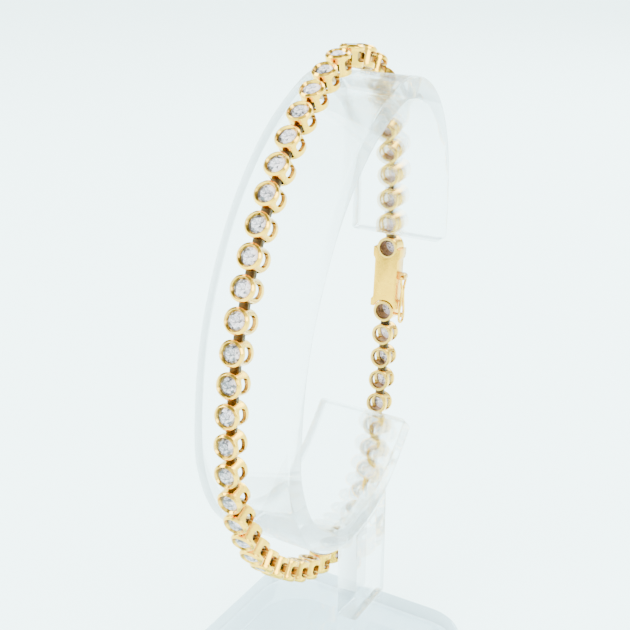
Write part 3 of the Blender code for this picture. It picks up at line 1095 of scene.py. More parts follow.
@dataclass
class Brilliant:
    """Round brilliant stone, its girdle held under the bezel."""

    table_radius: float = 0.66 * MM
    star_radius: float = 0.90 * MM
    girdle_radius: float = 1.15 * MM
    table_height: float = 2.84 * MM
    star_height: float = 2.715 * MM
    girdle_height: float = 2.485 * MM
    girdle_wall: float = 0.03 * MM
    half_radius: float = 0.30 * MM
    half_height: float = 1.76 * MM
    culet_height: float = 1.48 * MM
    # Tones of the painted reflections and shade on the facets: lighter on the right and on the back
    # facets.
    darkest: float = 0.08
    lightest: float = 0.34
    front_slope: float = 0.42
    back_slope: float = 0.08
    back_rise: float = 0.55
    spread: float = 0.45

    def mesh(self, name: str, chance: random.Random, lift: float = 0.0) -> bpy.types.Mesh:
        """Build the 57 facets, each with a painted tone of reflection and shade.

        Args:
            name: Name of the mesh.
            chance: Source of the facets' painted tones and of the stone's turn.
            lift: Painted sky light that makes the whole stone lighter.

        Returns:
            The stone's mesh.
        """
        shape = bmesh.new()
        turn = chance.uniform(0.0, math.pi / 4.0)

        def ring(
            radius: float, height: float, count: int, offset: float
        ) -> list[bmesh.types.BMVert]:
            """Corners at one height.

            Args:
                radius: Radius of the ring.
                height: Height of the ring.
                count: Number of corners.
                offset: Turn in steps of the ring.

            Returns:
                The corners.
            """
            corners = []
            for step in range(count):
                angle = turn + 2.0 * math.pi * (step + offset) / count
                corners.append(
                    shape.verts.new((radius * math.cos(angle), radius * math.sin(angle), height))
                )
            return corners

        table = ring(self.table_radius, self.table_height, 8, 0.0)
        star = ring(self.star_radius, self.star_height, 8, 0.5)
        upper = ring(self.girdle_radius, self.girdle_height + self.girdle_wall / 2.0, 16, 0.0)
        lower = ring(self.girdle_radius, self.girdle_height - self.girdle_wall / 2.0, 16, 0.0)
        half = ring(self.half_radius, self.half_height, 8, 0.5)
        culet = shape.verts.new((0.0, 0.0, self.culet_height))
        shape.faces.new(table)
        for step in range(8):
            after = (step + 1) % 8
            shape.faces.new((table[step], star[step], table[after]))
            shape.faces.new((table[step], star[step - 1], upper[2 * step], star[step]))
            shape.faces.new((star[step], upper[2 * step], upper[2 * step + 1]))
            shape.faces.new((star[step], upper[2 * step + 1], upper[(2 * step + 2) % 16]))
            shape.faces.new((half[step], lower[2 * step + 1], lower[2 * step]))
            shape.faces.new((half[step], lower[(2 * step + 2) % 16], lower[2 * step + 1]))
            shape.faces.new((culet, half[step], lower[2 * step], half[step - 1]))
        for step in range(16):
            after = (step + 1) % 16
            shape.faces.new((upper[step], lower[step], lower[after], upper[after]))
        bmesh.ops.recalc_face_normals(shape, faces=shape.faces)
        mesh = Workshop.mesh(name, shape)
        # Painted light and shade: a random painted reflection on each facet, the right side
        # lighter, the back facets lighter as if lit through, and a painted highlight on the table.
        middle = chance.uniform(self.darkest, self.lightest) + lift
        tones = []
        for facet in mesh.polygons:
            side = facet.center.x / self.girdle_radius
            slope, rise = self.front_slope, 0.0
            if facet.normal.z < -0.2:
                slope, rise = self.back_slope, self.back_rise
            change = chance.uniform(-self.spread, self.spread)
            tones.append(middle + slope * side + rise + change)
        tones[0] = middle + chance.uniform(0.05, 0.25)
        Workshop.store(mesh, "facet", tones, Domain.FACE)
        return mesh


@dataclass
class Setting:
    """Collet of a link: bezel, open sides, a slot with a pin and a tongue."""

    height: float = 2.9 * MM
    radius: float = 1.665 * MM
    bore: float = 1.14 * MM
    window_length: float = 1.9 * MM
    window_foot: float = 0.70 * MM
    window_height: float = 1.46 * MM
    window_corner: float = 0.42 * MM
    pitch: float = 3.75 * MM
    pin_setback: float = 1.15 * MM
    pin_height: float = 1.19 * MM
    pin_radius: float = 0.17 * MM
    eye_radius: float = 0.46 * MM
    eye_bore: float = 0.28 * MM
    tongue_width: float = 1.3 * MM
    tongue_play: float = 0.13 * MM
    neck_height: float = 0.65 * MM
    slot_foot: float = 0.5 * MM
    tongue_root: float = 1.25 * MM
    shade_radius: float = 1.45 * MM
    shade_height: float = 2.7 * MM
    # Radius of the painted dark line on the crest, which stands for the shade of a step.
    ridge_radius: float = 1.36 * MM
    wave_foot: float = 2.3 * MM
    sides: int = 64

    def profile(self, foot: float = 0.0) -> list[Point]:
        """Closed section of the collet.

        Args:
            foot: Height where it begins; above 0 it has no foot ring.

        Returns:
            Radius and height of each row, outer side first.
        """
        outer = [
            (1.18, 0.02), (1.24, 0.0), (1.54, 0.0), (1.60, 0.03), (1.625, 0.10), (1.63, 0.45),
            (1.63, 0.72), (1.632, 2.05), (1.64, 2.16),
        ]
        if foot > 0.0:
            outer = [(1.14, foot / MM), (1.62, foot / MM), (1.64, foot / MM + 0.3)]
        bezel = [
            (1.655, 2.28), (1.665, 2.42), (1.665, 2.555), (1.658, 2.61), (1.64, 2.65),
            (1.60, 2.69), (1.53, 2.76), (1.46, 2.835), (1.41, 2.88), (1.375, 2.90),
            (1.345, 2.89), (1.32, 2.86), (1.28, 2.80), (1.22, 2.71), (1.16, 2.625),
            (1.12, 2.575), (1.105, 2.55), (1.115, 2.525), (1.165, 2.505), (1.165, 2.44),
            (1.14, 2.34),
        ]
        inner = [] if foot > 0.0 else [(1.14, 1.6), (1.14, 0.8), (1.14, 0.10)]
        return [(r * MM, z * MM) for r, z in outer + bezel + inner]

    def collet(self, name: str, foot: float = 0.0) -> bpy.types.Mesh:
        """Turned collet without its openings."""
        return Workshop.lathe(name, self.profile(foot), self.sides)

    def windows(self) -> list[bpy.types.Mesh]:
        """Cutters of the two open sides.

        Returns:
            One cutter for each side.
        """
        half = self.window_length / 2.0 - self.window_corner
        low = self.window_foot + self.window_corner
        high = self.window_foot + self.window_height - self.window_corner
        outline = []
        for middle, start in (
            ((half, low), -90.0),
            ((half, high), 0.0),
            ((-half, high), 90.0),
            ((-half, low), 180.0),
        ):
            for step in range(5):
                angle = math.radians(start + 90.0 * step / 4.0)
                outline.append(
                    (
                        middle[0] + self.window_corner * math.cos(angle),
                        middle[1] + self.window_corner * math.sin(angle),
                    )
                )
        inner, outer = 0.55 * MM, 2.0 * self.radius
        return [
            Workshop.slab("window_right", outline, inner, outer, "X"),
            Workshop.slab("window_left", outline, -outer, -inner, "X"),
        ]

    def slot(self) -> bpy.types.Mesh:
        """Cutter of the slot that takes the tongue of the link before.

        Returns:
            The cutter's mesh.
        """
        half = self.tongue_width / 2.0 + self.tongue_play
        top = self.pin_height + self.eye_radius + self.tongue_play
        front = -(self.pin_setback - self.eye_radius - self.tongue_play)
        return Workshop.block(
            "slot", (-half, -2.0 * self.radius, self.slot_foot), (half, front, top)
        )

    def pin(self) -> bpy.types.Mesh:
        """Hinge pin across the slot.

        Returns:
            The pin's mesh.
        """
        half = self.tongue_width / 2.0 + self.tongue_play + self.pin_radius * 0.7
        return Workshop.rod(
            "pin",
            Vector((-half, -self.pin_setback, self.pin_height)),
            Vector((half, -self.pin_setback, self.pin_height)),
            self.pin_radius,
            14,
        )

    def tongue(self, name: str) -> bpy.types.Mesh:
        """Tongue with the eye for the next link's pin.

        Args:
            name: Name of the mesh.

        Returns:
            The tongue.
        """
        eye = self.pitch - self.pin_setback
        root = self.tongue_root
        half = self.neck_height / 2.0
        start = math.asin(half / self.eye_radius)
        outline = [(root, self.pin_height + half)]
        steps = 18
        for step in range(steps + 1):
            angle = math.pi - start - (2.0 * math.pi - 2.0 * start) * step / steps
            outline.append(
                (
                    eye + self.eye_radius * math.cos(angle),
                    self.pin_height + self.eye_radius * math.sin(angle),
                )
            )
        outline.append((root, self.pin_height - half))
        width = self.tongue_width / 2.0
        plate = Workshop.slab(name + "_plate", outline, -width, width, "X", 0.06 * MM)
        hole = Workshop.rod(
            name + "_hole",
            Vector((-2.0 * width, eye, self.pin_height)),
            Vector((2.0 * width, eye, self.pin_height)),
            self.eye_bore,
            18,
        )
        return Workshop.carve(name, plate, [hole])

    def mesh(self) -> bpy.types.Mesh:
        """Collet of a link with its openings, before its bezel is closed by hand."""
        cuts = [*self.windows(), self.slot()]
        return Workshop.carve("setting", self.collet("collet"), cuts)

    def painted_shade(self, place: Vector) -> float:
        """Painted shade of a point: in the bore, under the foot, along a fine line on the crest and
        on the left of the inner slope.

        Args:
            place: Point in the collet's own frame.

        Returns:
            0 where no shade is painted, up to 1 deep in the bore.
        """
        # Painted shade inside the bore, under the foot, on a fine line of the crest and on the left
        # of the inner slope.
        radius = math.hypot(place.x, place.y)
        inside = max(0.0, min(1.0, (self.shade_radius - radius) / (0.3 * MM)))
        below = max(0.0, min(1.0, (self.shade_height - place.z) / (0.35 * MM)))
        under = max(0.0, min(1.0, (0.12 * MM - place.z) / (0.12 * MM))) * 0.35
        on_ridge = abs(radius - self.ridge_radius) < 0.025 * MM
        ridge = 0.6 if place.z > self.shade_height and on_ridge else 0.0
        chamfer = 0.4 if place.x < -0.5 * MM and radius < 1.3 * MM else 0.0
        return max(inside * below, under, ridge, chamfer)

    def wave(self, mesh: bpy.types.Mesh, chance: random.Random) -> None:
        """Close the bezel by hand: small waves of its crest and inner edge.

        Args:
            mesh: The collet, in its own frame.
            chance: Source of the waves.
        """
        waves = [
            (count, chance.uniform(0.0, math.tau), chance.uniform(0.4, 1.0) * size)
            for count, size in ((2, 0.012), (3, 0.010), (5, 0.009), (8, 0.007), (13, 0.005))
        ]
        values = []
        for point in mesh.vertices:
            place = point.co
            radius = math.hypot(place.x, place.y)
            values.append(self.painted_shade(place))
            share = max(0.0, min(1.0, (place.z - self.wave_foot) / (0.4 * MM)))
            if share == 0.0 or radius < 1.0 * MM:
                continue
            angle = math.atan2(place.y, place.x)
            push = sum(size * math.sin(count * angle + phase) for count, phase, size in waves)
            lip = max(0.0, min(1.0, (1.38 * MM - radius) / (0.28 * MM)))
            point.co.z = min(place.z + push * MM * share * 0.9 - 0.008 * MM * share, self.height)
            scale = 1.0 + push * MM * share * (0.35 + 1.5 * lip) / radius
            point.co.x *= min(scale, self.radius / radius)
            point.co.y *= min(scale, self.radius / radius)
        # Store the painted shade of each point for the gold.
        Workshop.store(mesh, "painted_shade", values, Domain.POINT)


@dataclass
class Chain:
    """The links between the two ends of the clasp."""

    route: ChainRoute
    finishes: Finishes
    setting: Setting = field(default_factory=Setting)
    stone: Brilliant = field(default_factory=Brilliant)
    # Share of painted sky light on stones that face up.
    sky_lift: float = 0.24
    stone_tilt: float = 0.02
    seed: int = 47

    def build(self) -> None:
        """Build every link and put it in the place of its solid."""
        chance = random.Random(self.seed)
        collet = self.setting.mesh()
        tongue = self.setting.tongue("tongue")
        pin = self.setting.pin()
        # Painted shade on the tongue and the pin, which sit in the slot between links.
        for mesh in (tongue, pin):
            Workshop.store(mesh, "painted_shade", [0.35] * len(mesh.vertices), Domain.POINT)
            Workshop.soften(mesh, 40.0)
        for number in range(1, self.route.count + 1):
            self.link(number, collet, tongue, pin, chance)
        log.info("chain: %d links", self.route.count)

    def link(
        self,
        number: int,
        collet: bpy.types.Mesh,
        tongue: bpy.types.Mesh,
        pin: bpy.types.Mesh,
        chance: random.Random,
    ) -> None:
        """Build one link.

        Args:
            number: The link's number from the clasp.
            collet: Collet that every link starts from.
            tongue: Tongue mesh.
            pin: Pin mesh.
            chance: Source of the link's own small differences.
        """
        name = "link_%02d" % number
        place = self.route.place(number)
        body = collet.copy()
        body.name = name + "_setting"
        self.setting.wave(body, chance)
        Workshop.soften(body, 32.0)
        setting = Workshop.piece(name + "_setting", body)
        setting.matrix_world = place
        Workshop.dress(setting, [self.finishes.bezel], BRACELET, Slot.GOLD)
        hinge = Workshop.piece(name + "_hinge", join_meshes(name + "_hinge", [tongue, pin]))
        hinge.matrix_world = place
        Workshop.dress(hinge, [self.finishes.hinge], BRACELET, Slot.GOLD)
        # Painted sky light: stones that face up are painted lighter.
        lift = self.sky_lift * max(0.0, place.col[2].z)
        gem = Workshop.piece(name + "_stone", self.stone.mesh(name + "_stone", chance, lift))
        lean = chance.uniform(-self.stone_tilt, self.stone_tilt)
        tilt = Matrix.Rotation(lean, 4, "X")
        gem.matrix_world = place @ tilt
        Workshop.dress(gem, [self.finishes.stone], BRACELET, Slot.GOLD)
        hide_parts(name)


def join_meshes(name: str, meshes: Sequence[bpy.types.Mesh]) -> bpy.types.Mesh:
    """Put several meshes in one, with their stored values.

    Args:
        name: Name of the new mesh.
        meshes: The meshes.

    Returns:
        The joined mesh.
    """
    shape = bmesh.new()
    for mesh in meshes:
        shape.from_mesh(mesh)
    result = Workshop.mesh(name, shape)
    result.shade_smooth()
    result.set_sharp_from_angle(angle=math.radians(40.0))
    return result


@dataclass
class BoxClasp:
    """Box clasp: case with three collets, tongue with one, and the stud."""

    route: ChainRoute
    finishes: Finishes
    setting: Setting = field(default_factory=Setting)
    stone: Brilliant = field(default_factory=Brilliant)
    step: float = 3.2 * MM
    reach: float = 9.85 * MM
    gap: float = 0.12 * MM
    width: float = 3.66 * MM
    height: float = 2.4 * MM
    plate_wall: float = 0.55 * MM
    ear_reach: float = 0.34 * MM
    ear_length: float = 1.5 * MM
    front_ear_back: float = 0.65 * MM
    blade_width: float = 2.0 * MM
    blade_height: float = 0.6 * MM
    blade_length: float = 4.4 * MM
    blade_play: float = 0.15 * MM
    blade_root: float = 1.3 * MM
    blade_taper: float = 0.25 * MM
    back_radius: float = 1.42 * MM
    bore_top: float = 2.36 * MM
    catch_plane: float = 2.51 * MM
    knuckle_place: float = 4.2 * MM
    knuckle_length: float = 1.1 * MM
    knuckle_radius: float = 0.5 * MM
    knuckle_bore: float = 0.31 * MM
    stud_place: float = 0.4 * MM
    stud_radius: float = 0.22 * MM
    stud_root: float = 1.45 * MM
    stud_neck: float = 0.33 * MM
    ball_radius: float = 0.4 * MM
    ball_start: float = -56.6
    seed: int = 9

    def outline(self) -> list[Point]:
        """Outline of the case: concave ends and an ear at each corner.

        Returns:
            Corners of the outline.
        """
        wide = self.width / 2.0
        ear = wide + self.ear_reach
        last = self.reach - self.front_ear_back
        room = self.setting.radius + self.gap
        lean = math.degrees(math.asin(self.front_ear_back / room))
        right = [
            (ear, 0.0),
            (ear, self.ear_length * 0.72),
            (wide + self.ear_reach * 0.75, self.ear_length),
            (wide + self.ear_reach * 0.22, self.ear_length + self.ear_reach * 0.6),
            (wide, self.ear_length + self.ear_reach * 1.3),
            (wide, last - self.ear_length - self.ear_reach * 0.3),
            (wide + self.ear_reach * 0.22, last - self.ear_length + self.ear_reach * 0.4),
            (wide + self.ear_reach * 0.75, last - self.ear_length + self.ear_reach),
            (ear, last - self.ear_length * 0.72),
            (ear, last),
        ]
        left = [(-x, y) for x, y in reversed(right)]
        front = self.arc((0.0, self.reach), room, -lean, lean - 180.0, 18)
        back = self.arc((0.0, 0.0), self.back_radius, 180.0, 0.0, 18)
        return right + front + left + back

    @staticmethod
    def arc(middle: Point, radius: float, start: float, end: float, steps: int) -> list[Point]:
        """Points of an arc, both ends included.

        Args:
            middle: Its centre.
            radius: Its radius.
            start: First angle in degrees.
            end: Last angle in degrees.
            steps: Number of chords.

        Returns:
            The points.
        """
        points = []
        for step in range(steps + 1):
            angle = math.radians(start + (end - start) * step / steps)
            points.append(
                (middle[0] + radius * math.cos(angle), middle[1] + radius * math.sin(angle))
            )
        return points

    def bore(self) -> bpy.types.Mesh:
        """Cutter of an open bore under a stone.

        Returns:
            The cutter's mesh.
        """
        wide, top, low = self.setting.bore, self.bore_top, -self.height
        profile = [(0.0, low), (wide, low), (wide, top), (0.0, top)]
        return Workshop.lathe("bore", profile, self.setting.sides, closed=False)

    def case(self) -> bpy.types.Mesh:
        """Case of the clasp with its room for the blade.

        Returns:
            The case's mesh, with its openings cut.
        """
        body = Workshop.slab("case", self.outline(), 0.0, self.height, "Z", 0.07 * MM)
        wide = self.blade_width / 2.0 + self.blade_play
        start = self.reach - self.setting.radius - self.blade_length - self.blade_play
        room = Workshop.block(
            "room",
            (-wide, start, self.plate_wall),
            (wide, self.reach, self.plate_wall + self.blade_height + 2.0 * self.blade_play),
        )
        return Workshop.carve("clasp_case", body, [room, self.bore(), self.setting.slot()])

    def knuckle(self) -> bpy.types.Mesh:
        """Short tube on a web at the side of the case.

        Returns:
            The tube's mesh, with its bore cut.
        """
        middle = self.height / 2.0
        low = middle - self.knuckle_length / 2.0
        high = middle + self.knuckle_length / 2.0
        inner = self.width / 2.0 - self.knuckle_radius / 2.0
        outline = [(inner, self.knuckle_place - self.knuckle_radius)]
        outline += self.arc(
            (self.catch_plane, self.knuckle_place), self.knuckle_radius, -90.0, 90.0, 16
        )
        outline.append((inner, self.knuckle_place + self.knuckle_radius))
        tube = Workshop.slab("knuckle", outline, low, high, "Z", 0.05 * MM)
        hole = Workshop.rod(
            "knuckle_bore",
            Vector((self.catch_plane, self.knuckle_place, low - MM)),
            Vector((self.catch_plane, self.knuckle_place, high + MM)),
            self.knuckle_bore,
            20,
        )
        return Workshop.carve("clasp_knuckle", tube, [hole])

    def blade(self) -> bpy.types.Mesh:
        """Folded spring blade of the tongue, inside the case.

        Returns:
            The blade's mesh.
        """
        low = self.plate_wall + self.blade_play
        wide = self.blade_width / 2.0
        root = -self.blade_root
        tip = -(self.setting.radius + self.blade_length)
        outline = [
            (tip, low + self.blade_height * 0.35),
            (tip + self.blade_taper, low),
            (root, low),
            (root, low + self.blade_height),
            (tip + self.blade_taper, low + self.blade_height),
            (tip, low + self.blade_height * 0.65),
        ]
        return Workshop.slab("clasp_blade", outline, -wide, wide, "X", 0.05 * MM)

    def stud(self) -> bpy.types.Mesh:
        """Ball stud that the safety catch snaps over.

        Returns:
            The stud's mesh, in its place on the clasp.
        """
        long = self.catch_plane - self.stud_root
        profile = [(0.0, 0.0), (self.stud_radius, 0.0)]
        profile.append((self.stud_radius, long - self.stud_neck))
        for step in range(9):
            angle = math.radians(self.ball_start + (90.0 - self.ball_start) * step / 8.0)
            radius = self.ball_radius * math.cos(angle)
            profile.append(
                (radius if step < 8 else 0.0, long + self.ball_radius * math.sin(angle))
            )
        mesh = Workshop.lathe("clasp_stud", profile, 24, closed=False)
        turn = Matrix.Rotation(math.radians(90.0), 4, "Y")
        place = Matrix.Translation((self.stud_root, self.stud_place, self.height / 2.0))
        mesh.transform(place @ turn)
        return mesh

    def part(
        self,
        name: str,
        mesh: bpy.types.Mesh,
        place: Matrix,
        material: bpy.types.Material,
        depth: float | None = 0.0,
    ) -> bpy.types.Object:
        """Put one piece of the clasp in place.

        Args:
            name: Name of the piece.
            mesh: Its mesh in the clasp's frame.
            place: Where that frame is.
            material: Its gold.
            depth: Painted shade all over it; None if the mesh already holds its painted shade.

        Returns:
            The piece.
        """
        if depth is not None:
            values = [self.shade(point.co, depth) for point in mesh.vertices]
            Workshop.store(mesh, "painted_shade", values, Domain.POINT)
        Workshop.soften(mesh, 35.0)
        item = Workshop.piece(name, mesh)
        item.matrix_world = place
        return Workshop.dress(item, [material], BRACELET, Slot.GOLD)

    def shade(self, place: Vector, depth: float) -> float:
        """Painted shade of a point of the clasp.

        Args:
            place: The point, in the clasp's own frame.
            depth: Painted shade that it has already.

        Returns:
            The point's painted shade, with the bores and the sides counted in.
        """
        # Painted shade inside the case and on its sides.
        inside = abs(place.x) < 1.2 * MM and 0.4 * MM < place.z < 1.6 * MM
        side = abs(place.x) > self.width / 2.0 - 0.1 * MM and place.z > 0.1 * MM
        return max(depth, 0.8 if inside else 0.0, 0.45 if side else 0.0)

    def build(self) -> None:
        """Build the clasp in the place of its two solids."""
        chance = random.Random(self.seed)
        place = self.route.place(0)
        case = self.part("clasp_case", self.case(), place, self.finishes.plate)
        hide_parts("clasp_box")
        self.part("clasp_knuckle", self.knuckle(), place, self.finishes.plate)
        first = Workshop.carve("first", self.setting.collet("first_collet"), [self.setting.slot()])
        words = ("first", "second", "third")
        for number, word in enumerate(words):
            mesh = first if number == 0 else self.setting.collet(word, self.height / 2.0)
            self.setting.wave(mesh, chance)
            here = place @ Matrix.Translation((0.0, self.step * number, 0.0))
            self.part("clasp_%s_setting" % word, mesh, here, self.finishes.bezel, None)
            self.gem("clasp_%s_stone" % word, here, chance)
        pin = self.setting.pin()
        # The pin and the tongue's hinge get painted shade, as they sit in slots.
        self.part("clasp_pin", pin, place, self.finishes.hinge, 0.3)
        end = place @ Matrix.Translation((0.0, self.reach, 0.0))
        last = self.setting.collet("last_collet")
        self.setting.wave(last, chance)
        tail = self.part("clasp_tongue_setting", last, end, self.finishes.bezel, None)
        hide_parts("clasp_tongue")
        self.gem("clasp_tongue_stone", end, chance)
        tongue = self.setting.tongue("clasp_tongue_hinge")
        self.part("clasp_tongue_hinge", tongue, end, self.finishes.hinge, 0.35)
        self.part("clasp_blade", self.blade(), end, self.finishes.plate)
        self.part("clasp_stud", self.stud(), end, self.finishes.bezel)
        log.info("clasp: case, knuckle, four settings, blade and stud")

    def gem(self, name: str, place: Matrix, chance: random.Random) -> None:
        """Set one stone.

        Args:
            name: Name of the piece.
            place: Frame of its collet.
            chance: Source of its painted tones.
        """
        item = Workshop.piece(name, self.stone.mesh(name, chance))
        item.matrix_world = place
        Workshop.dress(item, [self.finishes.stone], BRACELET, Slot.GOLD)


@dataclass
class SafetyCatch:
    """Figure of eight wire, hinged in the clasp's knuckle."""

    clasp: BoxClasp
    finishes: Finishes
    wire: float = 0.19 * MM
    length: float = 7.2 * MM
    loop_width: float = 1.75 * MM
    waist_width: float = 0.60 * MM
    side_gap: float = 0.15 * MM
    bend: float = 0.35 * MM
    waist_share: float = 0.32
    tip_share: float = 1.15

    def route(self) -> list[Point]:
        """Closed route of the wire about its hinge.

        Returns:
            Distance along the clasp and across it of each corner.
        """
        hinge = self.clasp.knuckle_length / 2.0 + self.side_gap + self.wire
        waist = self.waist_width / 2.0
        loop = self.loop_width / 2.0
        middle = self.length * self.waist_share
        centre = self.length - loop * self.tip_share
        upper = [(0.0, 0.0), (0.0, (hinge - self.bend) * 0.5), (0.0, hinge - self.bend)]
        for step in range(1, 5):
            angle = math.radians(22.5 * step)
            upper.append(
                (
                    self.bend * (1.0 - math.cos(angle)),
                    hinge - self.bend * (1.0 - math.sin(angle)),
                )
            )
        steps = 10
        for step in range(1, steps + 1):
            share = step / steps
            ease = (1.0 - math.cos(math.pi * share)) / 2.0
            upper.append(
                (self.bend + (middle - self.bend) * share, hinge + (waist - hinge) * ease)
            )
        for step in range(1, steps + 1):
            share = step / steps
            ease = (1.0 - math.cos(math.pi * share)) / 2.0
            upper.append((middle + (centre - middle) * share, waist + (loop - waist) * ease))
        end = self.length - centre
        for step in range(1, 11):
            angle = math.radians(90.0 * step / 10.0)
            upper.append((centre + end * math.sin(angle), loop * math.cos(angle)))
        lower = [(along, -across) for along, across in reversed(upper[1:-1])]
        return upper + lower

    def build(self) -> None:
        """Build the catch on its own body."""
        data = bpy.data.curves.new("safety_catch_wire", "CURVE")
        data.dimensions = "3D"
        data.bevel_depth = self.wire
        data.bevel_resolution = 4
        corners = self.route()
        spline = data.splines.new("POLY")
        spline.points.add(len(corners) - 1)
        for point, (along, across) in zip(spline.points, corners):
            point.co = (0.0, along, across, 1.0)
        spline.use_cyclic_u = True
        curve = bpy.data.objects.new("safety_catch_curve", data)
        bpy.context.scene.collection.objects.link(curve)
        bpy.context.view_layer.update()
        graph = bpy.context.evaluated_depsgraph_get()
        mesh = bpy.data.meshes.new_from_object(curve.evaluated_get(graph))
        bpy.data.objects.remove(curve, do_unlink=True)
        Workshop.store(mesh, "painted_shade", [0.0] * len(mesh.vertices), Domain.POINT)
        mesh.shade_smooth()
        item = Workshop.piece("safety_catch_wire", mesh)
        offset = (self.clasp.catch_plane, self.clasp.knuckle_place, self.clasp.height / 2.0)
        item.matrix_world = self.clasp.route.place(0) @ Matrix.Translation(offset)
        Workshop.dress(item, [self.finishes.bezel], CATCH, Slot.GOLD)
        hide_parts("safety_catch")
        log.info("safety catch: %s", item.name)


# The stand


@dataclass
class DisplayStand:
    """Clear band, stem and base."""

    shape: StandShape
    route: ChainRoute
    finishes: Finishes
    face_steps: int = 8
    skin_drop: float = 0.06 * MM
    edge: float = 0.28 * MM

    def modify(self, item: bpy.types.Object, kind: str, **settings: object) -> None:
        """Add a modifier and set it.

        Args:
            item: The piece.
            kind: Type of the modifier.
            settings: Its properties.
        """
        step = item.modifiers.new(kind.lower(), kind)
        for name, value in settings.items():
            setattr(step, name, value)

    def settle(self, item: bpy.types.Object, node: str, material: bpy.types.Material) -> None:
        """Apply the modifiers, then put the piece in its solid's place.

        Args:
            item: The piece.
            node: Solid that it replaces.
            material: Its finish.
        """
        bpy.context.view_layer.update()
        graph = bpy.context.evaluated_depsgraph_get()
        mesh = bpy.data.meshes.new_from_object(item.evaluated_get(graph))
        name, place = item.name, item.matrix_world.copy()
        bpy.data.objects.remove(item, do_unlink=True)
        Workshop.soften(mesh, 50.0)
        final = Workshop.piece(name, mesh)
        final.matrix_world = place
        Workshop.dress(final, [material], BRACELET, Slot.CLEAR)
        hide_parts(node)
        log.info("stand: %s", final.name)

    def band(self) -> None:
        """The bent strip with polished, rounded edges."""
        mesh = bmesh.new()
        rows = []
        half = self.shape.band_width / 2.0
        face = self.shape.face(self.face_steps)
        for index, point in enumerate(face):
            ahead = face[min(index + 1, len(face) - 1)]
            behind = face[max(index - 1, 0)]
            way = (ahead - behind).normalized()
            inner = point - Vector((-way.y, way.x)) * self.skin_drop
            rows.append(
                (
                    mesh.verts.new((-half, inner.x, inner.y)),
                    mesh.verts.new((half, inner.x, inner.y)),
                )
            )
        for low, high in zip(rows, rows[1:]):
            mesh.faces.new((low[0], low[1], high[1], high[0]))
        bmesh.ops.bevel(
            mesh,
            geom=[*rows[0], *rows[-1]],
            affect="VERTICES",
            offset=min(self.shape.band_corner, 0.45 * (face[1] - face[0]).length * 2.0),
            segments=5,
            profile=0.5,
        )
        item = Workshop.piece("clear_band", Workshop.mesh("clear_band", mesh))
        wall = self.shape.band_wall - self.skin_drop
        self.modify(item, "SOLIDIFY", thickness=wall, offset=-1.0, use_even_offset=True)
        self.modify(
            item,
            "BEVEL",
            width=self.edge,
            segments=3,
            limit_method="ANGLE",
            angle_limit=math.radians(50.0),
        )
        foot = Vector((0.0, 0.0, self.route.foot))
        item.matrix_world = Matrix.Translation(self.route.origin + foot)
        self.settle(item, "display_band", self.finishes.band)

    def stem(self) -> None:
        """Flat stem, its top cut to the band's underside."""
        near = self.shape.stem_place
        far = near + self.shape.stem_depth
        face = self.shape.face(self.face_steps)
        outline = [
            (near, self.shape.base_height + self.shape.glue_gap),
            (far, self.shape.base_height + self.shape.glue_gap),
        ]
        for step in range(17):
            deep = far + (near - far) * step / 16
            heights = []
            for first, second in zip(face, face[1:]):
                if first.y < self.shape.band_height / 2.0 and second.x <= deep <= first.x:
                    share = (deep - second.x) / (first.x - second.x)
                    heights.append(second.y + (first.y - second.y) * share)
            outline.append((deep, self.route.foot + min(heights) - self.shape.glue_gap))
        high = self.shape.band_width / 2.0
        mesh = Workshop.slab(
            "clear_stem", outline, high - self.shape.stem_wall, high, "X", self.edge * 0.6, 3
        )
        item = Workshop.piece("clear_stem", mesh)
        item.matrix_world = Matrix.Translation(self.route.origin)
        self.settle(item, "display_stem", self.finishes.band)

    def base(self) -> None:
        """Rounded block under the stem."""
        low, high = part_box("display_base")
        middle = (low + high) / 2.0
        half = (high - low) / 2.0
        corner = self.shape.base_corner
        outline = []
        for sign_x, sign_y, start in ((1, -1, -90), (1, 1, 0), (-1, 1, 90), (-1, -1, 180)):
            for step in range(13):
                angle = math.radians(start + 90.0 * step / 12.0)
                outline.append(
                    (
                        sign_x * (half.x - corner) + corner * math.cos(angle),
                        sign_y * (half.y - corner) + corner * math.sin(angle),
                    )
                )
        mesh = Workshop.slab(
            "clear_base", outline, low.z, high.z, "Z", self.shape.base_edge, 4
        )
        item = Workshop.piece("clear_base", mesh)
        item.matrix_world = Matrix.Translation((middle.x, middle.y, 0.0))
        self.settle(item, "display_base", self.finishes.block)

    def build(self) -> None:
        """Build the three clear pieces."""
        self.band()
        self.stem()
        self.base()


# The studio


@dataclass
class SoftLight:
    """One large soft light."""

    name: str
    place: Point3
    size: float
    power: float
    colour: tuple[float, float, float]
    target: Point3 = (-0.003, 0.0, 0.045)

    def build(self) -> None:
        """Hang the light and point it at the object."""
        data = bpy.data.lights.new(self.name, "AREA")
        data.shape = "SQUARE"
        data.size = self.size
        data.energy = self.power
        data.color = self.colour
        item = bpy.data.objects.new(self.name, data)
        bpy.context.scene.collection.objects.link(item)
        item.location = self.place
        way = Vector(self.target) - Vector(self.place)
        item.rotation_euler = way.to_track_quat("-Z", "Y").to_euler()


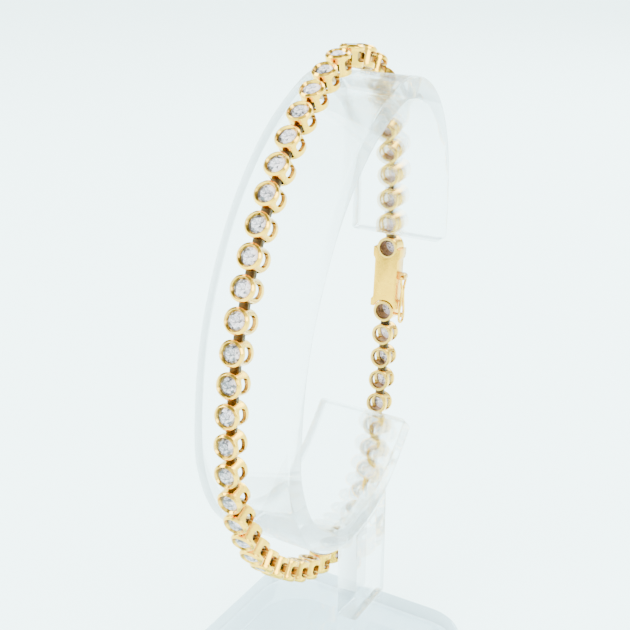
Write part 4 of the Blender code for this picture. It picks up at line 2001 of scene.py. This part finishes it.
@dataclass
class Studio:
    """Pale floor, soft light and the camera at the photograph's view."""

    finishes: Finishes
    camera_place: Point3 = (0.06228, -0.11505, 0.10397)
    turn: float = 30.7
    rise: float = 21.7
    lens: float = 62.857
    floor_radius: float = 3.0
    plain_colour: tuple[float, float, float, float] = (0.74, 0.97, 0.975, 1.0)
    plain_strength: float = 6.8
    studio_dark: tuple[float, float, float, float] = (0.075, 0.08, 0.08, 1.0)
    studio_bright: tuple[float, float, float, float] = (0.82, 0.98, 1.0, 1.0)
    studio_strength: float = 3.0
    lamp_colour: tuple[float, float, float] = (0.84, 0.98, 1.0)

    def floor(self) -> None:
        """Wide sheet of paper that curves up far away."""
        profile = [(0.0, 0.0), (0.3, 0.0), (1.2, 0.0), (2.0, 0.02), (2.6, 0.15)]
        profile.append((self.floor_radius, 0.6))
        mesh = Workshop.lathe("studio_floor", profile, 96, closed=False)
        mesh.flip_normals()
        mesh.shade_smooth()
        mesh.materials.append(self.finishes.paper)
        Workshop.piece("studio_floor", mesh)

    def sky(self) -> None:
        """Even pale light all round, brighter overhead for what reflects it."""
        world = bpy.data.worlds.new("studio")
        world.use_nodes = True
        bpy.context.scene.world = world
        sheet = NodeSheet(world.node_tree)
        for node in list(world.node_tree.nodes):
            world.node_tree.nodes.remove(node)
        plain = sheet.add("Background")
        plain.inputs["Color"].default_value = self.plain_colour
        plain.inputs["Strength"].default_value = self.plain_strength
        studio = sheet.add("Background")
        studio.inputs["Strength"].default_value = self.studio_strength
        way = sheet.add("TexCoord").outputs["Generated"]
        parts = sheet.add("SeparateXYZ")
        sheet.join(way, parts.inputs[0])
        side = sheet.noise(way, 1.6, 1.0)
        level = sheet.between(parts.outputs["Z"], -0.1, 0.55, 0.0, 1.0)
        share = sheet.maths("MULTIPLY", level, sheet.between(side, 0.40, 0.60, 0.15, 1.0))
        tone = sheet.blend(share, self.studio_dark, self.studio_bright)
        sheet.join(tone, studio.inputs["Color"])
        path = sheet.add("LightPath")
        seen = sheet.maths("MAXIMUM", path.outputs["Is Camera Ray"], path.outputs["Is Diffuse Ray"])
        seen = sheet.maths("MAXIMUM", seen, path.outputs["Is Transmission Ray"])
        either = sheet.add("MixShader")
        sheet.join(seen, either.inputs[0])
        sheet.join(studio.outputs[0], either.inputs[1])
        sheet.join(plain.outputs[0], either.inputs[2])
        sheet.join(either.outputs[0], sheet.add("OutputWorld").inputs["Surface"])

    def lights(self) -> None:
        """Three soft lights round the stand."""
        tint = self.lamp_colour
        for light in (
            SoftLight("left_light", (-0.42, -0.30, 0.36), 0.34, 5.0, tint),
            SoftLight("right_light", (0.45, -0.10, 0.30), 0.28, 3.0, tint),
            SoftLight("back_light", (0.05, 0.50, 0.42), 0.34, 4.0, tint),
        ):
            light.build()

    def camera(self) -> None:
        """Camera where the photograph was taken from."""
        data = bpy.data.cameras.new("camera")
        data.sensor_width = 36.0
        data.lens = self.lens
        data.clip_start = 0.005
        item = bpy.data.objects.new("camera", data)
        bpy.context.scene.collection.objects.link(item)
        a, e = math.radians(self.turn), math.radians(self.rise)
        back = Vector((math.sin(a) * math.cos(e), -math.cos(a) * math.cos(e), math.sin(e)))
        item.location = self.camera_place
        item.rotation_euler = (-back).to_track_quat("-Z", "Y").to_euler()
        bpy.context.scene.camera = item

    def build(self) -> None:
        """Build floor, light and camera."""
        self.camera()
        self.floor()
        self.sky()
        self.lights()
        log.info("studio: floor, light and camera")


def main() -> None:
    """Build every piece in order."""
    logging.basicConfig(level=logging.INFO, format="%(name)s: %(message)s")
    finishes = Finishes()
    shape = StandShape()
    route = ChainRoute(shape)
    DisplayStand(shape, route, finishes).build()
    Chain(route, finishes).build()
    clasp = BoxClasp(route, finishes)
    clasp.build()
    SafetyCatch(clasp, finishes).build()
    Studio(finishes).build()


if __name__ == "__main__":
    main()
